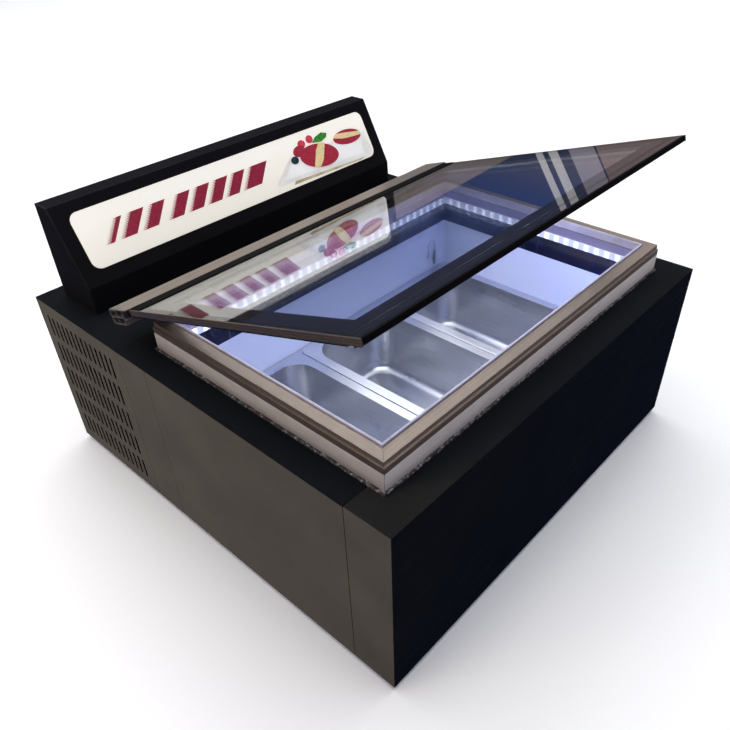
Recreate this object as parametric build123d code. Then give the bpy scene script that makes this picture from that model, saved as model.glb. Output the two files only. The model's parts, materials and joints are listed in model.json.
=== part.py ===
from build123d import *
import math
import os

# Countertop display chest freezer, millimetres.
# Origin: middle of the footprint, on the surface it stands on. +X right, +Y to the rear, +Z up.
# The lid is drawn closed and then turned to its resting opening about the hinge axis.

# ---------------------------------------------------------------- cabinet
WIDTH = 655.0
DEPTH = 670.0
DECK_Z = 264.0
FOOT_H = 8.0
FOOT_R = 17.0
FOOT_INSET = 48.0
FOOT_CHAMFER = 1.5
SHEET = 1.2
PANEL_GAP = 0.8
FRONT_COVER_D = 61.6
FILLER_D = 62.0
MACHINE_D = 209.0
TRAY_FLANGE_H = 15.0
FLANGE = 12.0
SCREW_R = 1.6
SCREW_CLEAR = 0.1
SCREW_HEAD_R = 3.6
SCREW_LENGTH = 9.0
REAR_SCREW_DROPS = (29.0, 134.0, 224.0)

# ---------------------------------------------------------------- tub and pans
PAN_COUNT = 3
PAN_X = 176.0
PAN_Y = 325.0
PAN_DEPTH = 100.0
PAN_SHEET = 1.0
PAN_GAP = 1.0
PAN_RIM_W = 14.4
PAN_ROLL_H = 4.0
PAN_CORNER = 12.0
PAN_MOUTH_CORNER = 34.0
PAN_TAPER = 4.0
PAN_FLOOR_FILLET = 14.0
PAN_RIM_FILLET = 1.2
REST_GAP = 0.3
TUB_CLEAR_X = 1.5
TUB_CLEAR_Y = 6.0
TUB_FROM_FRONT = 233.0
TUB_FLOOR_Z = 53.0
UNDER_PANS = 13.5
LINER = 1.5
EVAPORATOR = 1.5
EVAPORATOR_INSET_LOW = 4.0
EVAPORATOR_INSET_HIGH = 5.0
GLARE_BAND_H = 23.0
RAIL_W = 10.0
RAIL_H = 12.0
LINER_CORNER = 6.0
CROSSBAR_W = 14.0
PROBE_INSET = 27.5
PROBE_R = 2.2
PROBE_LOW = 3.5
PROBE_HIGH = 29.5
PROBE_WALL_GAP = 0.5
CLIP_HX = 4.0
LEAD_R = 0.9
LEAD_GAP = 0.1
LEAD_BEND = 5.0
GLAND_R = 3.0
GLAND_T = 1.0
GLAND_OFFSET = 15.5

# ---------------------------------------------------------------- collar, heights above the deck
COLLAR_W = 18.5
COLLAR_SETBACK = 4.0
BAND_H = 17.3
BOARD_H = 25.0
LIP_BASE_H = 30.5
STEP1_H = 32.9
RIM_H = 39.4
LIP_H = 42.0
STEP_IN = 1.8
LIP_W = 3.2
LIP_GAP = 0.3
RIM_FLANGE = 1.5
MITRE_GAP = 0.2
LED_CHANNEL = 2.2
DIFFUSER_H = 10.0
DIFFUSER_GAP = 0.4

# ---------------------------------------------------------------- lid and hinge
LID_OVERHANG_X = 17.0
LID_OVERHANG_FRONT = 22.5
LID_REST_DEG = 18.05
LID_SEAL_GAP = 0.3
GASKET = 1.7
GASKET_SPREAD = 3.0
PANE_TOP = 3.0
PANE_BOTTOM = 3.0
PANE_SPACE = 4.0
LOWER_SETBACK = 8.0
EDGE_TRIM = 2.0
TRIM_H = 7.4
TRIM_GROOVES = (1.8, 4.4)
GROOVE_D = 0.5
GROOVE_H = 0.6
FRONT_STRIP = 3.0
SPACER_W = 8.0
SPACER_INSET = 1.0
HINGE_BACK = 25.0
HINGE_DROP = 13.0
PROFILE_LIP_BACK = 19.5
PROFILE_LEG_BACK = 8.0
PROFILE_REACH = 26.0
PROFILE_RISE = 6.0
PROFILE_OVERHANG = 5.0
PROFILE_WALL = 1.6
HINGE_INSET = 89.0
PIN_R = 2.5
PIN_CLEAR = 0.05
PIN_SEAT_CLEAR = 0.02
BARREL_R = 4.5
LEAF_X = 18.0
LEAF_GAP = 0.02
LEAF_T = 1.5
EAR_X = 8.0
EAR_GAP = 0.5
BRACKET_T = 2.5
BRACKET_HX = 34.0
BRACKET_SCREW_X = 26.0

# ---------------------------------------------------------------- light box, from the rear and the deck
SIGN_INSET_X = 30.5
SIGN_FRONT_BACK = 114.0
SIGN_KINK_OUT = 2.0
SIGN_KINK_H = 37.4
SIGN_TOP_BACK = 58.0
SIGN_REAR_BACK = 30.0
SIGN_TOP_H = 136.5
WINDOW_MARGIN = 21.0
WINDOW_LOW = 19.0
WINDOW_HIGH = 97.5
WINDOW_R = 13.0
WINDOW_GAP = 0.3
WINDOW_PROUD = 0.4
WINDOW_STEP = 7.0
SIGN_PANE = 3.0
LIGHT_BAR_INSET = 37.0
LIGHT_BAR_H = 12.0
LIGHT_BAR_D = 8.0
LIGHT_BAR_DROPS = (40.5, 75.5)

# ---------------------------------------------------------------- louvres
SLOT_W = 5.0
SLOT_WEB = 11.2
SLOT_PITCH_Y = 12.5
SLOT_ROWS = 5
SLOT_COLUMNS = 14
SLOT_FIRST_TOP_Z = 61.2
SLOT_TOP_DROP = 22.0
SLOT_REAR_INSET = 22.0
REAR_SLOT_X = 60.0

# ---------------------------------------------------------------- machine compartment
FAN_R = 68.0
FAN_CLEAR = 4.0
SHAFT_R = 3.0
SHAFT_CLEAR = 0.05
CONDENSER_INSET = 13.5
CONDENSER_T = 38.0
CONDENSER_FRONT_GAP = 16.0
CONDENSER_REAR_GAP = 17.0
CONDENSER_Z0 = 22.0
CONDENSER_DROP = 38.0
CONDENSER_ROWS = 6
CONDENSER_TUBE_R = 4.0
FIN = 0.8
FIN_PITCH = 5.5
SHROUD_GAP = 4.0
SHROUD_D = 22.0
MOTOR_GAP = 36.0
MOTOR_R = 27.0
MOTOR_L = 44.0
COMPRESSOR_R = 70.0
COMPRESSOR_H = 128.0
COMPRESSOR_X = 45.0
COMPRESSOR_BACK = 102.0
PLATE_HX = 95.0
PLATE_HY = 62.0
PLATE_T = 3.0
MOUNT_H = 10.0
TUBE_R = 3.0
TUBE_BEND = 12.0
TUBE_SEAT = 12.0
TUBE_LANE = 8.0
TUBE_WALL_GAP = 1.0
SUCTION_WALL = (120.0, 150.0)
LIQUID_WALL = (150.0, 60.0)
DRIER_X = (-190.0, -110.0)
DRIER_R = 8.0
LIQUID_Z = 20.0
DISCHARGE_DROP = 21.0
DISCHARGE_Z = 90.0
POCKET_INSET = 17.5
POCKET_X = 140.0
POCKET_LOW = 88.0
POCKET_HIGH = 18.0
POCKET_D = 18.0
POCKET_WALL = 2.0
CASE_D = 145.0
KNOB_R = 14.0
KNOB_FROM_POCKET = 36.0
ROCKER_FROM_POCKET = 76.0
INLET_FROM_POCKET = 113.0
CONTROL_DROP = 53.0

# ---------------------------------------------------------------- derived places
HALF_X = WIDTH / 2
FRONT_Y = -DEPTH / 2
REAR_Y = DEPTH / 2
SKIN_IN_X = HALF_X - SHEET
PLATE_Z = DECK_Z - SHEET
TRAY_Z = FOOT_H + SHEET
TRAY_IN_X = SKIN_IN_X - SHEET
COVER_END_Y = FRONT_Y + FRONT_COVER_D
MACHINE_Y = REAR_Y - MACHINE_D
SIDE_END_Y = MACHINE_Y - FILLER_D
REAR_SCREWS = [
    (side * (SKIN_IN_X - FLANGE / 2), DECK_Z - drop) for side in (-1, 1) for drop in REAR_SCREW_DROPS
]

TUB_CENTRE_Y = FRONT_Y + TUB_FROM_FRONT
TUB_HX = (PAN_COUNT * PAN_X + (PAN_COUNT - 1) * PAN_GAP) / 2 + TUB_CLEAR_X
TUB_HY = PAN_Y / 2 + TUB_CLEAR_Y
WALL = LINER + EVAPORATOR
COLLAR_HX = TUB_HX + COLLAR_SETBACK + COLLAR_W
COLLAR_HY = TUB_HY + COLLAR_SETBACK + COLLAR_W
TUB_W = COLLAR_W + COLLAR_SETBACK
PAN_RIM_Z = TUB_FLOOR_Z + UNDER_PANS + PAN_DEPTH
LINER_TOP_Z = DECK_Z - GLARE_BAND_H
RAIL_Z = PAN_RIM_Z - PAN_ROLL_H - REST_GAP
FOAM_X = TUB_HX + WALL
FOAM_Y0 = TUB_CENTRE_Y - TUB_HY - WALL
FOAM_Y1 = TUB_CENTRE_Y + TUB_HY + WALL
PROBE_X = TUB_HX - PROBE_INSET
PROBE_Z0 = PAN_RIM_Z + PROBE_LOW
PROBE_Z1 = PAN_RIM_Z + PROBE_HIGH

BAND_Z = DECK_Z + BAND_H
BOARD_TOP_Z = DECK_Z + BOARD_H
LIP_BASE_Z = DECK_Z + LIP_BASE_H
STEP1_Z = DECK_Z + STEP1_H
RIM_Z = DECK_Z + RIM_H
LIP_Z = DECK_Z + LIP_H

HINGE_X = COLLAR_HX - HINGE_INSET
HINGE_Y = TUB_CENTRE_Y + COLLAR_HY + HINGE_BACK
HINGE_Z = LIP_Z - HINGE_DROP
LID_X = 2 * (COLLAR_HX + LID_OVERHANG_X)
LID_FRONT_Y = TUB_CENTRE_Y - COLLAR_HY - LID_OVERHANG_FRONT
PANE_Z = LIP_Z + LID_SEAL_GAP + GASKET
LID_TOP_Z = PANE_Z + PANE_BOTTOM + PANE_SPACE + PANE_TOP
PROFILE_X = LID_X + 2 * PROFILE_OVERHANG
PROFILE_LIP_Y = HINGE_Y - PROFILE_LIP_BACK
PROFILE_LEG_Y = HINGE_Y - PROFILE_LEG_BACK
PROFILE_REAR_Y = HINGE_Y + PROFILE_REACH
PROFILE_BASE_Z = HINGE_Z + PROFILE_RISE
PROFILE_TOP_Z = LID_TOP_Z + PROFILE_WALL
PANE_REAR_Y = PROFILE_LEG_Y - 0.2
PANE_HX = LID_X / 2 - EDGE_TRIM
PANE_FRONT_Y = LID_FRONT_Y + FRONT_STRIP
LOWER_FRONT_Y = PANE_FRONT_Y + LOWER_SETBACK
EAR_CENTRE = LEAF_X / 2 + EAR_GAP + EAR_X / 2
BRACKET_SCREWS = [
    (side * HINGE_X + offset, DECK_Z + FLANGE)
    for side in (-1, 1)
    for offset in (-BRACKET_SCREW_X, BRACKET_SCREW_X)
]

SIGN_X = WIDTH - 2 * SIGN_INSET_X
WINDOW_X = SIGN_X - 2 * WINDOW_MARGIN
SIGN_FRONT_Y = REAR_Y - SIGN_FRONT_BACK
SIGN_KINK_Y = SIGN_FRONT_Y + SIGN_KINK_OUT
SIGN_TOP_Y = REAR_Y - SIGN_TOP_BACK
SIGN_REAR_Y = REAR_Y - SIGN_REAR_BACK
SIGN_KINK_Z = DECK_Z + SIGN_KINK_H
SIGN_TOP_Z = DECK_Z + SIGN_TOP_H
SIGN_LEAN = math.degrees(math.atan2(SIGN_TOP_Y - SIGN_KINK_Y, SIGN_TOP_Z - SIGN_KINK_Z))

SLOT_LAST_TOP_Z = DECK_Z - SLOT_TOP_DROP
SLOT_PITCH_Z = (SLOT_LAST_TOP_Z - SLOT_FIRST_TOP_Z) / (SLOT_ROWS - 1)
SLOT_H = SLOT_PITCH_Z - SLOT_WEB

CONDENSER_X0 = -HALF_X + CONDENSER_INSET
CONDENSER_X1 = CONDENSER_X0 + CONDENSER_T
CONDENSER_Y0 = MACHINE_Y + CONDENSER_FRONT_GAP
CONDENSER_Y1 = REAR_Y - CONDENSER_REAR_GAP
CONDENSER_Z1 = DECK_Z - CONDENSER_DROP
SHROUD_X = CONDENSER_X1 + SHROUD_GAP
MOTOR_X = SHROUD_X + MOTOR_GAP
FAN_Y = (CONDENSER_Y0 + CONDENSER_Y1) / 2
FAN_Z = (CONDENSER_Z0 + CONDENSER_Z1) / 2 + 1.0
COMPRESSOR_Y = MACHINE_Y + COMPRESSOR_BACK
LANE_Y = MACHINE_Y + TUBE_LANE
POCKET_X1 = HALF_X - POCKET_INSET
POCKET_X0 = POCKET_X1 - POCKET_X
POCKET_Z0 = DECK_Z - POCKET_LOW
POCKET_Z1 = DECK_Z - POCKET_HIGH
POCKET_Y = REAR_Y - SHEET - POCKET_D
CASE_Y = REAR_Y - CASE_D
KNOB_X = POCKET_X0 + KNOB_FROM_POCKET
ROCKER_X = POCKET_X0 + ROCKER_FROM_POCKET
INLET_X = POCKET_X0 + INLET_FROM_POCKET
CONTROL_Z = DECK_Z - CONTROL_DROP
FOOT_PLACES = [
    (sx * (HALF_X - FOOT_INSET), sy * (DEPTH / 2 - FOOT_INSET)) for sx in (-1, 1) for sy in (-1, 1)
]


# ---------------------------------------------------------------- helpers
def block(x0, x1, y0, y1, z0, z1):
    return Pos((x0 + x1) / 2, (y0 + y1) / 2, (z0 + z1) / 2) * Box(x1 - x0, y1 - y0, z1 - z0)


def prism_x(points, x0, x1):
    """Outline of (y, z) points drawn out along X."""
    face = make_face(Polyline(*[(x0, y, z) for y, z in points], close=True))
    return extrude(face, amount=x1 - x0, dir=(1, 0, 0))


def prism_z(points, z0, z1):
    """Outline of (x, y) points drawn out along Z."""
    face = make_face(Polyline(*[(x, y, z0) for x, y in points], close=True))
    return extrude(face, amount=z1 - z0, dir=(0, 0, 1))


def rounded_plate(sx, sy, radius, z0, height, taper=0.0):
    """Rounded rectangle about the Z axis; a negative height goes down."""
    outline = Plane.XY.offset(z0) * RectangleRounded(sx, sy, radius)
    return extrude(outline, amount=abs(height), dir=(0, 0, math.copysign(1, height)), taper=taper)


def rod_x(radius, x0, x1, y, z):
    return Pos((x0 + x1) / 2, y, z) * Rot(0, 90, 0) * Cylinder(radius, x1 - x0)


def rod_y(radius, y0, y1, x, z):
    return Pos(x, (y0 + y1) / 2, z) * Rot(90, 0, 0) * Cylinder(radius, y1 - y0)


def rod_z(radius, z0, z1, x, y):
    return Pos(x, y, (z0 + z1) / 2) * Cylinder(radius, z1 - z0)


def joined(*solids):
    total = solids[0]
    for solid in solids[1:]:
        total = total + solid
    return total


def several(*solids):
    """Separate solids kept in one node."""
    return Compound(children=list(solids))


def mirrored_x(solid):
    return mirror(solid, about=Plane.YZ)


def collar_length(section, half_u, half_w, turn):
    """Mitred length of the (w, z) section, w counted inwards from the collar's outer face."""
    deepest = max(w for w, z in section)
    bar = prism_x([(w - half_w, z) for w, z in section], -half_u, half_u)
    low = min(z for w, z in section)
    high = max(z for w, z in section)
    mitre = [
        (-half_u + MITRE_GAP / 2, -half_w),
        (half_u - MITRE_GAP / 2, -half_w),
        (half_u - MITRE_GAP / 2 - deepest, deepest - half_w),
        (-half_u + MITRE_GAP / 2 + deepest, deepest - half_w),
    ]
    bar = bar & prism_z(mitre, low, high)
    return Pos(0, TUB_CENTRE_Y, 0) * Rot(0, 0, turn) * bar


def collar_pair_long(section):
    return several(
        collar_length(section, COLLAR_HX, COLLAR_HY, 0),
        collar_length(section, COLLAR_HX, COLLAR_HY, 180),
    )


def collar_pair_short(section):
    return several(
        collar_length(section, COLLAR_HY, COLLAR_HX, 90),
        collar_length(section, COLLAR_HY, COLLAR_HX, 270),
    )


def collar_ring(section):
    return several(
        collar_length(section, COLLAR_HX, COLLAR_HY, 0),
        collar_length(section, COLLAR_HX, COLLAR_HY, 180),
        collar_length(section, COLLAR_HY, COLLAR_HX, 90),
        collar_length(section, COLLAR_HY, COLLAR_HX, 270),
    )


def strip_section(w0, w1, z0, z1):
    return [(w0, z0), (w1, z0), (w1, z1), (w0, z1)]


def pane_frame(half_x, y0, y1, width, z0, z1):
    outer = block(-half_x, half_x, y0, y1, z0, z1)
    return outer - block(-half_x + width, half_x - width, y0 + width, y1 - width, z0, z1)


def opened(solid):
    """Turns a lid piece from closed to its resting opening."""
    return solid.rotate(Axis((0, HINGE_Y, HINGE_Z), (-1, 0, 0)), LID_REST_DEG)


# ---------------------------------------------------------------- cabinet shell
def base_tray():
    outer = block(-SKIN_IN_X, SKIN_IN_X, FRONT_Y + SHEET, REAR_Y - SHEET, FOOT_H, FOOT_H + TRAY_FLANGE_H)
    hollow = block(
        -TRAY_IN_X, TRAY_IN_X, FRONT_Y + 2 * SHEET, REAR_Y - 2 * SHEET, TRAY_Z, FOOT_H + TRAY_FLANGE_H
    )
    return outer - hollow


def rubber_feet():
    feet = []
    for x, y in FOOT_PLACES:
        foot = rod_z(FOOT_R, 0, FOOT_H, x, y)
        foot = chamfer(foot.edges().sort_by(Axis.Z)[0], FOOT_CHAMFER)
        feet.append(foot)
    return several(*feet)


def front_cover():
    shell = block(-HALF_X, HALF_X, FRONT_Y, COVER_END_Y - PANEL_GAP / 2, FOOT_H, DECK_Z)
    hollow = block(-SKIN_IN_X, SKIN_IN_X, FRONT_Y + SHEET, COVER_END_Y, FOOT_H, PLATE_Z)
    notch = block(
        -COLLAR_HX - PANEL_GAP, COLLAR_HX + PANEL_GAP,
        TUB_CENTRE_Y - COLLAR_HY - PANEL_GAP, COVER_END_Y, PLATE_Z, DECK_Z,
    )
    return shell - hollow - notch


def side_panel(side):
    panel = block(
        SKIN_IN_X, HALF_X, COVER_END_Y + PANEL_GAP / 2, SIDE_END_Y - PANEL_GAP / 4, FOOT_H, PLATE_Z
    )
    return panel if side > 0 else mirrored_x(panel)


def filler_strips():
    strip = block(
        SKIN_IN_X, HALF_X, SIDE_END_Y + PANEL_GAP / 4, MACHINE_Y - PANEL_GAP / 4, FOOT_H, PLATE_Z
    )
    return several(strip, mirrored_x(strip))


def louvre_slots():
    slots = []
    for row in range(SLOT_ROWS):
        top = SLOT_LAST_TOP_Z - row * SLOT_PITCH_Z
        for column in range(SLOT_COLUMNS):
            y = REAR_Y - SLOT_REAR_INSET - column * SLOT_PITCH_Y
            place = Pos(HALF_X - SHEET / 2, y, top - SLOT_H / 2) * Rot(0, 90, 0)
            outline = place * SlotOverall(SLOT_H, SLOT_W)
            slots.append(extrude(outline, amount=SHEET, both=True))
    return slots


def louvre_panel(side):
    y0 = MACHINE_Y + PANEL_GAP / 4
    y1 = REAR_Y - SHEET
    skin = block(SKIN_IN_X, HALF_X, y0, y1, FOOT_H, PLATE_Z)
    flange = block(SKIN_IN_X - FLANGE, SKIN_IN_X, y1 - SHEET, y1, FOOT_H + TRAY_FLANGE_H, PLATE_Z)
    holes = [rod_y(SCREW_R + SCREW_CLEAR, y1 - SHEET, y1, x, z) for x, z in REAR_SCREWS if x > 0]
    panel = (skin - louvre_slots()) + (flange - holes)
    return panel if side > 0 else mirrored_x(panel)


def rear_panel():
    skin = block(-HALF_X, HALF_X, REAR_Y - SHEET, REAR_Y, FOOT_H, PLATE_Z)
    skin = skin - block(POCKET_X0, POCKET_X1, REAR_Y - SHEET, REAR_Y, POCKET_Z0, POCKET_Z1)
    cuts = [rod_y(SCREW_HEAD_R + SCREW_CLEAR, REAR_Y - SHEET, REAR_Y, x, z) for x, z in REAR_SCREWS]
    for row in range(SLOT_ROWS - 1):
        for column in range(-SLOT_COLUMNS, SLOT_COLUMNS + 1):
            x = column * SLOT_PITCH_Y - REAR_SLOT_X
            z = SLOT_FIRST_TOP_Z - SLOT_WEB + row * SLOT_PITCH_Z
            place = Pos(x, REAR_Y - SHEET / 2, z) * Rot(90, 0, 0) * Rot(0, 0, 90)
            cuts.append(extrude(place * SlotOverall(SLOT_H, SLOT_W), amount=SHEET, both=True))
    return skin - cuts


def screws():
    """Panel screws in the rear flanges and hinge bracket screws in the collar board."""
    made = []
    for x, z in REAR_SCREWS:
        head = rod_y(SCREW_HEAD_R, REAR_Y - SHEET, REAR_Y, x, z)
        made.append(head + rod_y(SCREW_R, REAR_Y - SHEET - SCREW_LENGTH, REAR_Y - SHEET, x, z))
    seat = TUB_CENTRE_Y + COLLAR_HY + BRACKET_T
    for x, z in BRACKET_SCREWS:
        head = rod_y(SCREW_HEAD_R, seat, seat + SHEET, x, z)
        made.append(head + rod_y(SCREW_R, seat - SCREW_LENGTH, seat, x, z))
    return several(*made)


def deck_middle():
    y1 = MACHINE_Y - PANEL_GAP / 4
    plate = block(-HALF_X, HALF_X, COVER_END_Y + PANEL_GAP / 2, y1, PLATE_Z, DECK_Z)
    return plate - block(
        -COLLAR_HX - PANEL_GAP, COLLAR_HX + PANEL_GAP,
        FRONT_Y, TUB_CENTRE_Y + COLLAR_HY + PANEL_GAP, PLATE_Z, DECK_Z,
    )


def deck_rear():
    return block(-HALF_X, HALF_X, MACHINE_Y + PANEL_GAP / 4, REAR_Y, PLATE_Z, DECK_Z)


def machine_bulkhead():
    wall = block(-TRAY_IN_X, TRAY_IN_X, MACHINE_Y - SHEET, MACHINE_Y, TRAY_Z, PLATE_Z)
    holes = [
        rod_y(TUBE_R + TUBE_WALL_GAP, MACHINE_Y - SHEET, MACHINE_Y, x, z)
        for x, z in (SUCTION_WALL, LIQUID_WALL)
    ]
    return wall - holes


# ---------------------------------------------------------------- insulated tub
def foam_front():
    return block(-TRAY_IN_X, TRAY_IN_X, FRONT_Y + 2 * SHEET, FOAM_Y0, TRAY_Z, PLATE_Z)


def foam_rear():
    board = block(-TRAY_IN_X, TRAY_IN_X, FOAM_Y1, MACHINE_Y - SHEET, TRAY_Z, PLATE_Z)
    holes = [
        rod_y(TUBE_R + TUBE_WALL_GAP, MACHINE_Y - SHEET - TUBE_SEAT, MACHINE_Y - SHEET, x, z)
        for x, z in (SUCTION_WALL, LIQUID_WALL)
    ]
    return board - holes


def foam_sides():
    board = block(FOAM_X, TRAY_IN_X, FOAM_Y0, FOAM_Y1, TRAY_Z, PLATE_Z)
    return several(board, mirrored_x(board))


def foam_floor():
    return block(-FOAM_X, FOAM_X, FOAM_Y0, FOAM_Y1, TRAY_Z, TUB_FLOOR_Z - LINER)


def tub_liner():
    y0 = TUB_CENTRE_Y - TUB_HY
    y1 = TUB_CENTRE_Y + TUB_HY
    outer = block(-TUB_HX - LINER, TUB_HX + LINER, y0 - LINER, y1 + LINER, TUB_FLOOR_Z - LINER, LINER_TOP_Z)
    hollow = block(-TUB_HX, TUB_HX, y0, y1, TUB_FLOOR_Z, LINER_TOP_Z)
    hollow = fillet(hollow.edges().filter_by(Axis.Z) + hollow.faces().sort_by(Axis.Z)[0].edges(), LINER_CORNER)
    return outer - hollow


def evaporator_plates():
    """Flat plate evaporators bonded to the outside of the liner walls."""
    w0 = TUB_W - WALL
    z0 = TUB_FLOOR_Z + EVAPORATOR_INSET_LOW
    z1 = LINER_TOP_Z - EVAPORATOR_INSET_HIGH
    return collar_ring(strip_section(w0, w0 + EVAPORATOR, z0, z1))


def glare_bands():
    """Dark strip from the liner up to the lights."""
    top = BAND_Z - DIFFUSER_H - 2 * DIFFUSER_GAP
    return collar_ring(strip_section(TUB_W - LINER, TUB_W, LINER_TOP_Z, top))


def pan_rails():
    """Angle rails on the front and rear walls; the short pan edges rest on them."""
    y0 = TUB_CENTRE_Y - TUB_HY
    half = TUB_HX - LINER_CORNER
    seat = block(-half, half, y0, y0 + RAIL_W, RAIL_Z - SHEET, RAIL_Z)
    web = block(-half, half, y0, y0 + SHEET, RAIL_Z - RAIL_H, RAIL_Z - SHEET)
    rail = seat + web
    return several(rail, Pos(0, TUB_CENTRE_Y, 0) * Rot(0, 0, 180) * Pos(0, -TUB_CENTRE_Y, 0) * rail)


def pan_crossbars():
    pitch = PAN_X + PAN_GAP
    y0 = TUB_CENTRE_Y - TUB_HY + RAIL_W
    y1 = TUB_CENTRE_Y + TUB_HY - RAIL_W
    bars = []
    for index in range(PAN_COUNT - 1):
        x = (index - (PAN_COUNT - 2) / 2) * pitch
        bar = block(x - CROSSBAR_W / 2, x + CROSSBAR_W / 2, y0, y1, RAIL_Z - RAIL_H, RAIL_Z)
        groove = block(
            x - CROSSBAR_W / 2 + SHEET, x + CROSSBAR_W / 2 - SHEET, y0, y1, RAIL_Z - RAIL_H, RAIL_Z - SHEET
        )
        bars.append(bar - groove)
    return several(*bars)


def pan(index):
    mouth_x = PAN_X - 2 * PAN_RIM_W
    mouth_y = PAN_Y - 2 * PAN_RIM_W
    floor_z = PAN_RIM_Z - PAN_DEPTH
    blank = rounded_plate(PAN_X, PAN_Y, PAN_CORNER, PAN_RIM_Z, -PAN_ROLL_H)
    blank = fillet(blank.faces().sort_by(Axis.Z)[-1].edges(), PAN_RIM_FILLET)
    under = rounded_plate(
        PAN_X - 2 * PAN_SHEET, PAN_Y - 2 * PAN_SHEET, PAN_CORNER - PAN_SHEET,
        PAN_RIM_Z - PAN_SHEET, -PAN_ROLL_H,
    )
    rim = blank - under
    outer = rounded_plate(
        mouth_x + 2 * PAN_SHEET, mouth_y + 2 * PAN_SHEET, PAN_MOUTH_CORNER + PAN_SHEET,
        PAN_RIM_Z - PAN_SHEET, -(PAN_DEPTH - PAN_SHEET), PAN_TAPER,
    )
    outer = fillet(outer.faces().sort_by(Axis.Z)[0].edges(), PAN_FLOOR_FILLET + PAN_SHEET)
    hollow = rounded_plate(
        mouth_x, mouth_y, PAN_MOUTH_CORNER, PAN_RIM_Z, floor_z + PAN_SHEET - PAN_RIM_Z, PAN_TAPER
    )
    hollow = fillet(hollow.faces().sort_by(Axis.Z)[0].edges(), PAN_FLOOR_FILLET)
    body = rim + outer - hollow
    x = (index - (PAN_COUNT - 1) / 2) * (PAN_X + PAN_GAP)
    return Pos(x, TUB_CENTRE_Y, 0) * body


def sensor_probe():
    wall = TUB_CENTRE_Y + TUB_HY
    y = wall - PROBE_WALL_GAP - PROBE_R
    body = rod_z(PROBE_R, PROBE_Z0, PROBE_Z1, PROBE_X, y)
    clip = block(
        PROBE_X - CLIP_HX, PROBE_X + CLIP_HX, y + PROBE_R - 0.6, wall,
        PROBE_Z0 + 2 * CLIP_HX, PROBE_Z0 + 3.5 * CLIP_HX,
    )
    gland = rod_y(GLAND_R, wall - GLAND_T, wall, PROBE_X - GLAND_OFFSET, PROBE_Z1 - 7)
    return several(fillet(body.edges(), PROBE_R * 0.6) + clip, gland)


def sensor_lead():
    """Lead from the top of the probe, over in a loop, back down to its gland in the wall."""
    wall = TUB_CENTRE_Y + TUB_HY
    y = wall - PROBE_WALL_GAP - PROBE_R
    points = [
        (PROBE_X, y, PROBE_Z1 + LEAD_GAP),
        (PROBE_X + 1, y, PROBE_Z1 + 12),
        (PROBE_X - 7, y, PROBE_Z1 + 25),
        (PROBE_X - 18, y, PROBE_Z1 + 14),
        (PROBE_X - GLAND_OFFSET - 0.5, y, PROBE_Z1 - 2),
        (PROBE_X - GLAND_OFFSET, wall - GLAND_T - LEAD_R, PROBE_Z1 - 7),
    ]
    radii = []
    for before, here, after in zip(points, points[1:], points[2:]):
        run_in = Vector(*here) - Vector(*before)
        run_out = Vector(*after) - Vector(*here)
        turn = math.radians(run_in.get_angle(run_out))
        radii.append(min(LEAD_BEND, 0.45 * min(run_in.length, run_out.length) / math.tan(turn / 2)))
    path = FilletPolyline(*points, radius=radii)
    section = Plane(origin=path @ 0, z_dir=path % 0) * Circle(LEAD_R)
    return sweep(section, path=path)


# ---------------------------------------------------------------- collar and lighting
def board_section():
    return strip_section(0, COLLAR_W, PLATE_Z, BOARD_TOP_Z)


def collar_boards_long():
    """Front and rear boards; the rear one is bored for the hinge bracket screws."""
    back = TUB_CENTRE_Y + COLLAR_HY
    bores = [
        rod_y(SCREW_R, back - SCREW_LENGTH, back, x, z) for x, z in BRACKET_SCREWS
    ]
    front = collar_length(board_section(), COLLAR_HX, COLLAR_HY, 0)
    rear = collar_length(board_section(), COLLAR_HX, COLLAR_HY, 180)
    return several(front, rear - bores)


def rim_section():
    """Stepped aluminium profile with a flange that hangs down inside the collar."""
    lip = COLLAR_W - LIP_W + RIM_FLANGE
    return [
        (0, BOARD_TOP_Z),
        (0, STEP1_Z),
        (STEP_IN, STEP1_Z),
        (STEP_IN, RIM_Z),
        (lip - LIP_GAP, RIM_Z),
        (lip - LIP_GAP, LIP_BASE_Z - 1.0),
        (COLLAR_W + RIM_FLANGE, LIP_BASE_Z - 1.0),
        (COLLAR_W + RIM_FLANGE, BAND_Z + 0.2),
        (COLLAR_W, BAND_Z + 0.2),
        (COLLAR_W, BOARD_TOP_Z),
    ]


def lip_section():
    w0 = COLLAR_W - LIP_W + RIM_FLANGE
    w1 = COLLAR_W + RIM_FLANGE
    return [
        (w0, LIP_BASE_Z),
        (w1, LIP_BASE_Z),
        (w1, LIP_Z - 1.0),
        (w1 - 1.0, LIP_Z),
        (w0 + 0.8, LIP_Z),
        (w0, LIP_Z - 0.8),
    ]


def led_channels():
    return collar_ring(strip_section(COLLAR_W, COLLAR_W + LED_CHANNEL, DECK_Z + 0.2, BAND_Z))


def led_diffusers():
    z1 = BAND_Z - DIFFUSER_GAP
    return collar_ring(strip_section(COLLAR_W + LED_CHANNEL, TUB_W, z1 - DIFFUSER_H, z1))


# ---------------------------------------------------------------- light box
def sign_outline(inset):
    """Outline of the light box, moved in by inset on the front, top and rear faces."""
    lean = math.radians(SIGN_LEAN)
    return [
        (SIGN_FRONT_Y + inset, DECK_Z),
        (SIGN_KINK_Y + inset, SIGN_KINK_Z + inset * math.tan(lean / 2)),
        (SIGN_TOP_Y + inset / math.cos(lean) - inset * math.tan(lean), SIGN_TOP_Z - inset),
        (SIGN_REAR_Y - inset, SIGN_TOP_Z - inset),
        (SIGN_REAR_Y - inset, DECK_Z),
    ]


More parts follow.
